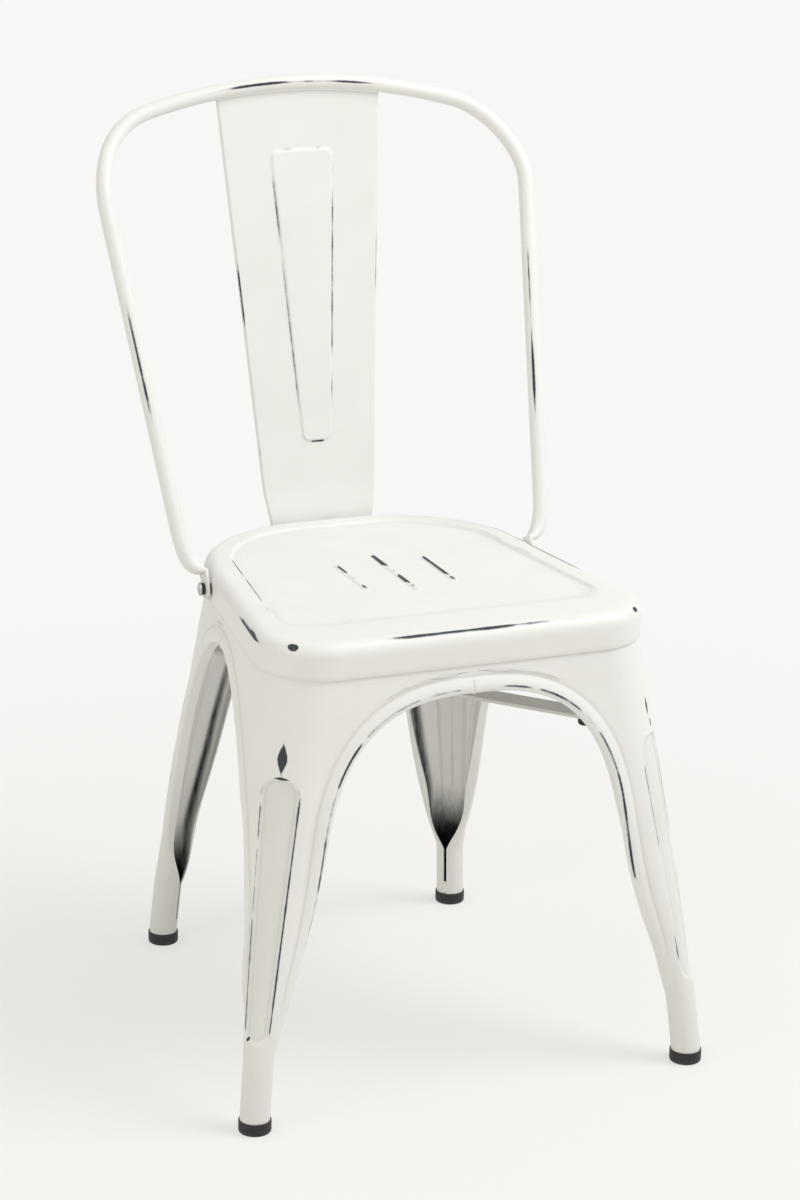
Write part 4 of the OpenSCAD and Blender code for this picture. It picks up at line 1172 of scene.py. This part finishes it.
def splat_grid():
    """Distance up the sheet, its share of the whole, half widths of sheet and panel, and x."""
    up = np.concatenate([np.linspace(-FOOT_LEN, -4, 16), np.linspace(-2, 40, 12),
                         np.arange(41.5, 58, 1.1), np.linspace(60, PANEL_END - 12, 60),
                         np.arange(PANEL_END - 11, PANEL_END + 6, 1.1),
                         np.linspace(PANEL_END + 8, splat_len, 12)])
    t = up / splat_len
    half = mix(LOW_W, TOP_W, clamp01(t)) / 2 + np.minimum(t, 0) * FOOT_TAPER
    panel = mix(PANEL_LOW, PANEL_TOP, clamp01((up - PANEL_GAP) / PANEL_H)) / 2
    q = np.concatenate([np.linspace(0, 0.7, 5)[:-1], np.linspace(0.7, 1.3, 17)])
    r = np.concatenate([np.linspace(0, 0.93, 10)[1:], [0.955, 0.975, 0.99, 1.0]])
    beyond = mix(panel[:, None] * 1.3, half[:, None] - HEM_IN, r[None, :])
    x = np.concatenate([panel[:, None] * q[None, :], beyond], axis=1)
    return up, t, half, panel, x


def splat_spine(t, x):
    """Points of the sheet before its panel and edges are pressed."""
    rows = []
    for ti, xi in zip(t, x):
        if ti >= 0:
            low = np.stack([xi, np.full_like(xi, BEND[0]), np.full_like(xi, BEND[1])], axis=1)
            rows.append(mix(low, splat_top(xi), ti))
        else:
            down = -ti * splat_len / FOOT_LEN
            y = np.interp(down, [0, 0.5, 1], [BEND[0], FOOT_BACK, FOOT_BACK])
            z = np.interp(down, [0, 0.5, 1], [BEND[1], FOOT_HIGH, FOOT_LOW])
            rows.append(np.stack([xi, np.full_like(xi, y), np.full_like(xi, z)], axis=1))
    grid = np.array(rows)
    for _ in range(2):
        grid[2:28, :, 1:] = (grid[1:27, :, 1:] + grid[2:28, :, 1:] + grid[3:29, :, 1:]) / 3
    return grid


def panel_gap(up, x, panel):
    qz = np.maximum(PANEL_GAP + PANEL_R - up, up - (PANEL_END - PANEL_R))[:, None]
    return rounded_gap(np.abs(x) - (panel[:, None] - PANEL_R), qz, PANEL_R)


# %% [markdown]
# The splat's wear is in three places: along the panel's ridge, across the panel's two ends,
# and along the sheet's side edges. Left and right have their own strokes.

# %% Wear of the splat
def splat_rub(up, x, half, panel, gap, sign):
    """Rubbed numbers of one half of the sheet, and the strokes on its side edge."""
    left = sign < 0
    side = (strokes(up, [(148, 240, .95), (20, 60, .0)], 30) if left else
            strokes(up, [(175, 262, .45), (310, 350, -.1)], 25))[:, None]
    ridge = (strokes(up, [(60, 240, .25), (225, 324, .5)], 30) if left else
             strokes(up, [(60, 130, .2), (112, 308, .5), (296, 326, .3)], 30))[:, None]
    upper = (strokes(-x, [(-26, -6, .3)], 6) if left else
             strokes(x, [(-26, -6, .5), (8, 25, .45)], 6))
    lower = strokes(x, [(-11, 10, .8)], 4)
    ends = np.where(up[:, None] > PANEL_GAP + PANEL_H / 2, upper, lower)
    at_end = np.abs(x) < panel[:, None] - 5
    rub = np.where(at_end, ends, ridge) - np.abs(gap + 0.5) * 0.8
    return np.maximum(rub, side - np.abs(half[:, None] - 0.8 - np.abs(x))), side


# %% Build the splat
HEM = np.array([(0.9, 0.35), (1.7, 1.2), (2.1, 2.4), (2.0, 3.6), (1.2, 4.8)])
HEM_WEAR = np.array([[0.2, 0.9, 2.0, 3.0, 4.5]])


def make_splat():
    up, t, half, panel, x = splat_grid()
    spine, gap = splat_spine(t, x), panel_gap(up, x, panel)
    skins, rubs = [], []
    for sign in (-1, 1):
        sheet = spine * [sign, 1, 1]
        sheet[..., 1] -= STEP * smooth(-gap / 2.6)
        hem = sheet[:, -1:] + np.stack([sign * HEM[:, 0], HEM[:, 1], 0 * HEM[:, 0]], axis=1)
        rub, side = splat_rub(up, x, half, panel, gap, sign)
        skins.append(np.concatenate([sheet, hem], axis=1))
        rubs.append(np.concatenate([rub, side - HEM_WEAR], axis=1))
    points = np.concatenate([skins[0][:, :0:-1], skins[1]], axis=1)
    rub = np.concatenate([rubs[0][:, :0:-1], rubs[1]], axis=1)
    normal = np.cross(np.gradient(points, axis=1), np.gradient(points, axis=0))
    rows, columns = points.shape[:2]
    both = np.stack([points, points - SHEET * (normal / lengths(normal))])

    def present(j, i):
        return 0 <= j < rows - 1 and 0 <= i < columns - 1

    marks = {"rub": np.stack([rub, np.full_like(rub, WHOLE)]), "grime": np.zeros_like(both[..., 0])}
    return add_piece("splat_sheet", to_frame(both), sheet_faces(rows, columns, present), marks)


splat = make_splat()
hand_over(splat, PAINT, "worn_paint", "back_splat")


# %% [markdown]
# ## Turned pieces
#
# Caps, bumpers, bolt heads, washers and spacers are all round about one axis. One outline,
# turned about that axis, makes each of them, and because they repeat, Geometry Nodes put the
# copies on points: four caps, four bumpers, two of each thing on the hoop.

# %% Turn an outline into a mesh, and copy it to points
def turned(name, outline, steps=48):
    """A closed shape from an outline of (radius, height) that starts and ends on the axis."""
    inner = outline[1:-1]
    a = np.linspace(0, 2 * math.pi, steps, endpoint=False)
    points = [(r * math.cos(t), r * math.sin(t), h) for r, h in inner for t in a]
    points += [(0, 0, outline[0][1]), (0, 0, outline[-1][1])]
    return add_piece(name, np.array(points) * MM, ring_faces(len(inner), steps))


def copies_tree():
    tree, add = new_tree("copies_on_points", ("Shape", "NodeSocketObject"))
    given = add("NodeGroupInput").outputs
    shape = add("GeometryNodeObjectInfo", {"Object": given["Shape"]}).outputs["Geometry"]
    facing = named(add, "facing", "FLOAT_VECTOR")
    turn = add("FunctionNodeAlignRotationToVector", {"Vector": facing}, axis="Z").outputs[0]
    placed = add("GeometryNodeInstanceOnPoints", {"Points": given["Geometry"], "Instance": shape,
                                                  "Rotation": turn}).outputs[0]
    finish_tree(add, placed, given)
    return tree


COPIES = copies_tree()


def copied(name, shape, places, facing, material, slot, *nodes):
    """One copy of the shape on each place, as one piece, and the shape itself put away."""
    piece = grown(name, to_frame(places), COPIES, {"Shape": shape, "Material": material},
                  {"facing": facing})
    bpy.data.objects.remove(shape)
    hand_over(piece, material, slot, *nodes)


# %% Foot caps
UP = np.tile([[0.0, 0.0, 1.0]], (4, 1))
feet = np.array([[-FRONT_FOOT, -FOOT_Y, 0], [FRONT_FOOT, -FOOT_Y, 0],
                 [-REAR_FOOT, FOOT_Y, 0], [REAR_FOOT, FOOT_Y, 0]])
CORNERS = ("front_left", "front_right", "rear_left", "rear_right")
cap_outline = [(0, 0), (13.1, 0), (14.1, .25), (14.7, .9), (14.92, 1.9), (15, 5), (15, 10.8),
               (14.9, 11.4), (14.65, 11.85), (14.3, 12), (14.0, 11.7), (14.0, 3), (0, 3)]
copied("rubber_foot_caps", turned("foot_cap", cap_outline, 64), feet, UP, RUBBER, "rubber",
       *["foot_cap_" + c for c in CORNERS])


# %% Bumpers under the cross brace
def centre_of(node):
    low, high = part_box(node)
    return np.array([(low[i] + high[i]) / 2 / MM for i in range(3)]) + [0, MIDDLE, 0]


BUMPER_H = 9.0
bumper_at = np.array([centre_of("bumper_" + c) for c in CORNERS]) - [0, 0, BUMPER_H / 2]
bumper_outline = [(0, 0), (5.4, 0), (6.6, .4), (7.3, 1.3), (7.5, 2.4), (7.5, 7.6), (7.3, 8.6),
                  (6.8, BUMPER_H), (0, BUMPER_H)]
copied("rubber_bumpers", turned("bumper", bumper_outline), bumper_at, UP, RUBBER, "rubber",
       *["bumper_" + c for c in CORNERS])


# %% Bolts of the hoop
CUSHION_T, WASHER_T, NUT_T = 3.0, 1.2, 5.0
side_dir = np.array([[sign * math.cos(SIDE_A), math.sin(SIDE_A), 0] for sign in (-1, 1)])
bolts = np.array([[sign * bolt_x, BOLT_Y, BOLT_Z] for sign in (-1, 1)])
head_at = SPACER + TAB_T + CUSHION_T
dome = [(6.5 * math.cos(a), 0.7 + 2.7 * math.sin(a)) for a in np.linspace(0, 1.45, 9)]
bolt_outline = [(0, -14.5), (2.7, -14.5), (3, -14), (3, 0), (5.9, 0), (6.4, .25), *dome, (0, 3.4)]
copied("hoop_bolts", turned("bolt", bolt_outline), bolts + side_dir * head_at, side_dir, ZINC,
       "zinc", "hoop_bolt_left", "hoop_bolt_right")


# %% [markdown]
# A ring has a hole, so its outline doesn't start and end on the axis. It is closed on itself
# instead: the last point of the outline joins the first.

# %% Rings and nuts on the bolts
def ring_shape(name, outline, flats=0, steps=48):
    """A ring from a closed outline. With flats, what lies outside the hole's edge has them."""
    points = []
    for r, h in outline:
        for t in np.linspace(0, 2 * math.pi, steps, endpoint=False):
            size = r
            if flats and r > 3.6:
                size = r / math.cos((t + math.pi / flats) % (2 * math.pi / flats)
                                    - math.pi / flats)
            points.append((size * math.cos(t), size * math.sin(t), h))
    n = len(outline)
    faces = [(j * steps + i, j * steps + (i + 1) % steps,
              ((j + 1) % n) * steps + (i + 1) % steps, ((j + 1) % n) * steps + i)
             for j in range(n) for i in range(steps)]
    return add_piece(name, np.array(points) * MM, faces)


def ring_outline(r, t):
    return [(3.25, .1), (r - .35, 0), (r, .35), (r, t - .35), (r - .35, t), (3.25, t - .1)]


def nut_outline(r, t):
    return [(3.05, .3), (3.5, 0), (r - .5, 0), (r, .6), (r, t - .6), (r - .5, t), (3.5, t),
            (3.05, t - .3)]


hoop_rings = (("hoop_spacers", "hoop_spacer", ring_outline(5, SPACER), 0.0, RUBBER, "rubber"),
              ("hoop_cushion_rings", "hoop_cushion", ring_outline(5.5, CUSHION_T),
               SPACER + TAB_T, RUBBER, "rubber"),
              ("hoop_washers", "hoop_washer", ring_outline(6, WASHER_T), -SHEET - WASHER_T,
               ZINC, "zinc"))
for name, node, outline, along, material, slot in hoop_rings:
    copied(name, ring_shape(node, outline), bolts + side_dir * along, side_dir, material, slot,
           node + "_left", node + "_right")
nut_at = SHEET + WASHER_T + NUT_T
copied("hoop_nuts", ring_shape("hoop_nut", nut_outline(5, NUT_T), 6), bolts - side_dir * nut_at,
       side_dir, ZINC, "zinc", "hoop_nut_left", "hoop_nut_right")


# %% Bolts and nuts of the splat
rear = np.array([[-26.0, SEAT_D / 2, FOOT_LOW + 6.5], [26.0, SEAT_D / 2, FOOT_LOW + 6.5]])
back_dir = np.tile([[0.0, 1.0, 0.0]], (2, 1))
short = [(r, h if h > -1 else h + 4.5) for r, h in bolt_outline]
copied("splat_bolts", turned("short_bolt", short), rear + back_dir * (SEAM + SHEET), back_dir,
       ZINC, "zinc", "splat_bolt_left", "splat_bolt_right")
copied("splat_nuts", ring_shape("splat_nut", nut_outline(5, NUT_T), 6),
       rear - back_dir * (SHEET + NUT_T), back_dir, ZINC, "zinc", "splat_nut_left",
       "splat_nut_right")


# %% [markdown]
# ## The cross brace and the welds
#
# Two flat strips cross under the seat and are welded into the corners of the legs. Their CAD
# nodes have the right shape, so they stay and only take the paint. The welds are what a
# welder's torch leaves: a row of small overlapping drops. Geometry Nodes lay the drops along
# each path, each one a little different in size, from a fixed seed.

# %% Paint on the strips, zinc on the rivet
def paint_node(name, material):
    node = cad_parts[name]
    node.data.materials.clear()
    node.data.materials.append(material)
    for polygon in node.data.polygons:
        polygon.material_index = 0


for name in ("cross_brace_lower", "cross_brace_upper"):
    paint_node(name, PAINT)
paint_node("brace_rivet", ZINC)


# %% Weld drops along a path
def weld_tree():
    tree, add = new_tree("weld_drops", ("Spacing", "NodeSocketFloat"), ("Size", "NodeSocketFloat"),
                         ("Seed", "NodeSocketInt"))
    given = add("NodeGroupInput").outputs
    rail = add("GeometryNodeMeshToCurve", {0: given["Geometry"]}).outputs[0]
    dots = add("GeometryNodeCurveToPoints", {"Curve": rail, "Length": given["Spacing"]},
               mode="LENGTH").outputs
    drop = add("GeometryNodeMeshIcoSphere", {"Radius": 1.0, "Subdivisions": 2}).outputs[0]
    size = add("FunctionNodeRandomValue", {2: 0.8, 3: 1.15, "Seed": given["Seed"]},
               data_type="FLOAT").outputs[1]
    placed = add("GeometryNodeInstanceOnPoints", {
        "Points": dots["Points"], "Instance": drop, "Rotation": dots["Rotation"],
        "Scale": calc(add, size, given["Size"], "MULTIPLY")}).outputs[0]
    finish_tree(add, placed, given)
    return tree


BRACE_W, BRACE_JOIN, BRACE_TOPS = 26.0, 332.0, (329.2, 332.2)


def weld_paths():
    """Up the seam of each foot, over the crown of each arch, and along the brace's ends."""
    paths = []
    z = np.linspace(14.5, SLIT_BOTTOM - 1, 8)
    d, drop = BEAD_STEPS[6:], FLANGE_DROP[6:]
    slant = math.sqrt(0.5)
    reach = (FOOT_R - 0.6) * slant

    def crown(leg, side, way):
        inner = length_to(leg, ARCH_H + d, 0.0, side)
        return on_leg(leg, ARCH_H + d, inner, side, bead_height(d) - drop - 0.7) * way

    for leg, front in ((FRONT_LEG, -1), (REAR_LEG, 1)):
        cx, ce = bend_centre(leg, z)
        seam = np.stack([cx - reach, ce - reach, z], axis=1)
        paths += [seam * [sign, front, 1] for sign in (-1, 1)]
        paths.append(crown(leg, 1, [0, front, 1]))
        cx, ce = bend_centre(leg, BRACE_JOIN)
        inside = bend_radius(leg, BRACE_JOIN) - SHEET - 0.9
        far = math.sqrt(inside ** 2 - (BRACE_W / 2) ** 2) * slant
        across = np.linspace(-BRACE_W / 2, BRACE_W / 2, 12)[:, None] * [slant, -slant, 0]
        for sign in (-1, 1):
            height = BRACE_TOPS[int(sign == front)]
            paths.append(([cx + far, ce + far, height] + across) * [sign, front, 1])
    paths += [crown(FRONT_LEG, -1, [sign, 0, 1]) for sign in (-1, 1)]
    return paths


def make_welds():
    points, edges = [], []
    for one in weld_paths():
        start = len(points)
        points += one.tolist()
        edges += [(start + i, start + i + 1) for i in range(len(one) - 1)]
    piece = grown("weld_drops", to_frame(points), weld_tree(),
                  {"Spacing": 1.2 * MM, "Size": 1.35 * MM, "Seed": 4, "Material": PAINT},
                  edges=edges)
    # The drops get a little of the same grey as the painted shade and dust elsewhere.
    store_marks(piece.data, grime=0.25)
    hand_over(piece, PAINT, "worn_paint")


make_welds()


# %% [markdown]
# ## Floor, light and camera
#
# The chair stands on a pale floor that runs up into a pale wall with no corner. One broad
# lamp, high on the right and a little in front, does the shaping. The world and the light
# that comes back off the floor are warm and even, and fill the shaded sides. To the camera,
# and in reflections, the floor turns to a plain pale tone away from the chair, and past its
# edge the world has that same tone.

# %% Floor and backdrop
PALE = (0.94, 0.93, 0.915, 1)


def seen_directly(add):
    """1 for what is seen plainly, in a shine or through glass, and 0 for light that fills."""
    rays = add("ShaderNodeLightPath").outputs
    seen = calc(add, rays["Is Camera Ray"], rays["Is Glossy Ray"])
    return calc(add, seen, rays["Is Transmission Ray"])


def make_stage():
    back, rise, wide, cove = 5.6, 6.5, 9.0, 1.2
    across = np.linspace(-wide, wide, 3)
    profile = [(-7.0, 0.0), (back - cove, 0.0)]
    profile += [(back - cove + cove * math.sin(a), cove - cove * math.cos(a))
                for a in np.linspace(0.1, math.pi / 2, 14)]
    profile.append((back, rise))
    turn = math.radians(-22.5)
    points = [(x * math.cos(turn) - y * math.sin(turn), x * math.sin(turn) + y * math.cos(turn), z)
              for y, z in profile for x in across]
    faces = [(j * 3 + i, j * 3 + i + 1, j * 3 + i + 4, j * 3 + i + 3)
             for j in range(len(profile) - 1) for i in range(2)]
    mesh = bpy.data.meshes.new("pale_floor")
    mesh.from_pydata(points, [], faces)
    mesh.shade_smooth()
    floor = bpy.data.objects.new("pale_floor", mesh)
    bpy.context.collection.objects.link(floor)
    material, add = new_material("pale_floor")
    where = add("ShaderNodeTexCoord").outputs["Object"]
    cloud = grain(add, where, 1.4, 2)
    colour = blend(add, cloud, (0.82, 0.805, 0.785, 1), (0.85, 0.838, 0.82, 1))
    skin = add("ShaderNodeBsdfPrincipled", {"Base Color": colour, "Roughness": 0.8})
    far = add("ShaderNodeVectorMath", {0: where}, operation="LENGTH").outputs["Value"]
    share = calc(add, ramp(add, far, 0.2, 1.4, (0.6, 1.0)), seen_directly(add), "MULTIPLY")
    plain = add("ShaderNodeEmission", {0: PALE, 1: 1.0})
    both = add("ShaderNodeMixShader", {0: share, 1: skin.outputs[0], 2: plain.outputs[0]})
    add("ShaderNodeOutputMaterial", {0: both.outputs[0]})
    mesh.materials.append(material)
    floor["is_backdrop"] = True


make_stage()


# %% Lamps and world
def add_lamp(name, place, aim, size, power, tint=(1, 1, 1)):
    data = bpy.data.lights.new(name, "AREA")
    data.shape, data.size, data.energy, data.color = "DISK", size, power, tint
    lamp = bpy.data.objects.new(name, data)
    bpy.context.collection.objects.link(lamp)
    lamp.location = place
    lamp.rotation_euler = (Vector(aim) - Vector(place)).to_track_quat("-Z", "Y").to_euler()
    return lamp


add_lamp("key", (1.85, -1.1, 3.1), (0, 0, 0.5), 1.9, 69, (0.97, 0.98, 1.0))
add_lamp("fill", (-2.6, -1.0, 1.7), (0, 0, 0.5), 1.6, 15, (1.0, 0.96, 0.90))


def make_world():
    world = bpy.data.worlds.new("studio")
    bpy.context.scene.world = world
    world.use_nodes = True
    world.node_tree.nodes.clear()
    add = graph(world.node_tree)
    lit = add("ShaderNodeBackground", {0: (1.0, 0.98, 0.92, 1), 1: 0.63})
    plain = add("ShaderNodeBackground", {0: PALE, 1: 1.0})
    both = add("ShaderNodeMixShader", {0: seen_directly(add), 1: lit.outputs[0],
                                       2: plain.outputs[0]})
    add("ShaderNodeOutputWorld", {0: both.outputs[0]})


make_world()
bpy.context.scene.view_settings.view_transform = "Standard"


# %% Camera
def add_camera():
    """A long lens, high on the chair's left, looking down at it with a slight roll."""
    yaw, pitch, roll = (math.radians(v) for v in (22.5063, 17.6867, 1.0507))
    f = np.array([math.sin(yaw) * math.cos(pitch), math.cos(yaw) * math.cos(pitch),
                  -math.sin(pitch)])
    r = np.array([math.cos(yaw), -math.sin(yaw), 0])
    u = np.cross(r, f)
    right = math.cos(roll) * r + math.sin(roll) * u
    up = -math.sin(roll) * r + math.cos(roll) * u
    data = bpy.data.cameras.new("camera")
    data.sensor_fit, data.sensor_width = "AUTO", 36.0
    data.lens = 3408.8 / 1200 * 36
    camera = bpy.data.objects.new("camera", data)
    bpy.context.collection.objects.link(camera)
    turn = Matrix([[right[i], up[i], -f[i]] for i in range(3)])
    camera.matrix_world = turn.to_4x4()
    camera.location = (-1.1605, -2.814626 - MIDDLE * MM, 1.3817)
    bpy.context.scene.camera = camera
    print("camera at", [round(v, 3) for v in camera.location], "lens", round(data.lens, 1))


add_camera()


# %% Measure the finished chair, and finish
low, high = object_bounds()
print("visual box", [round(v, 4) for v in (*low, *high)])
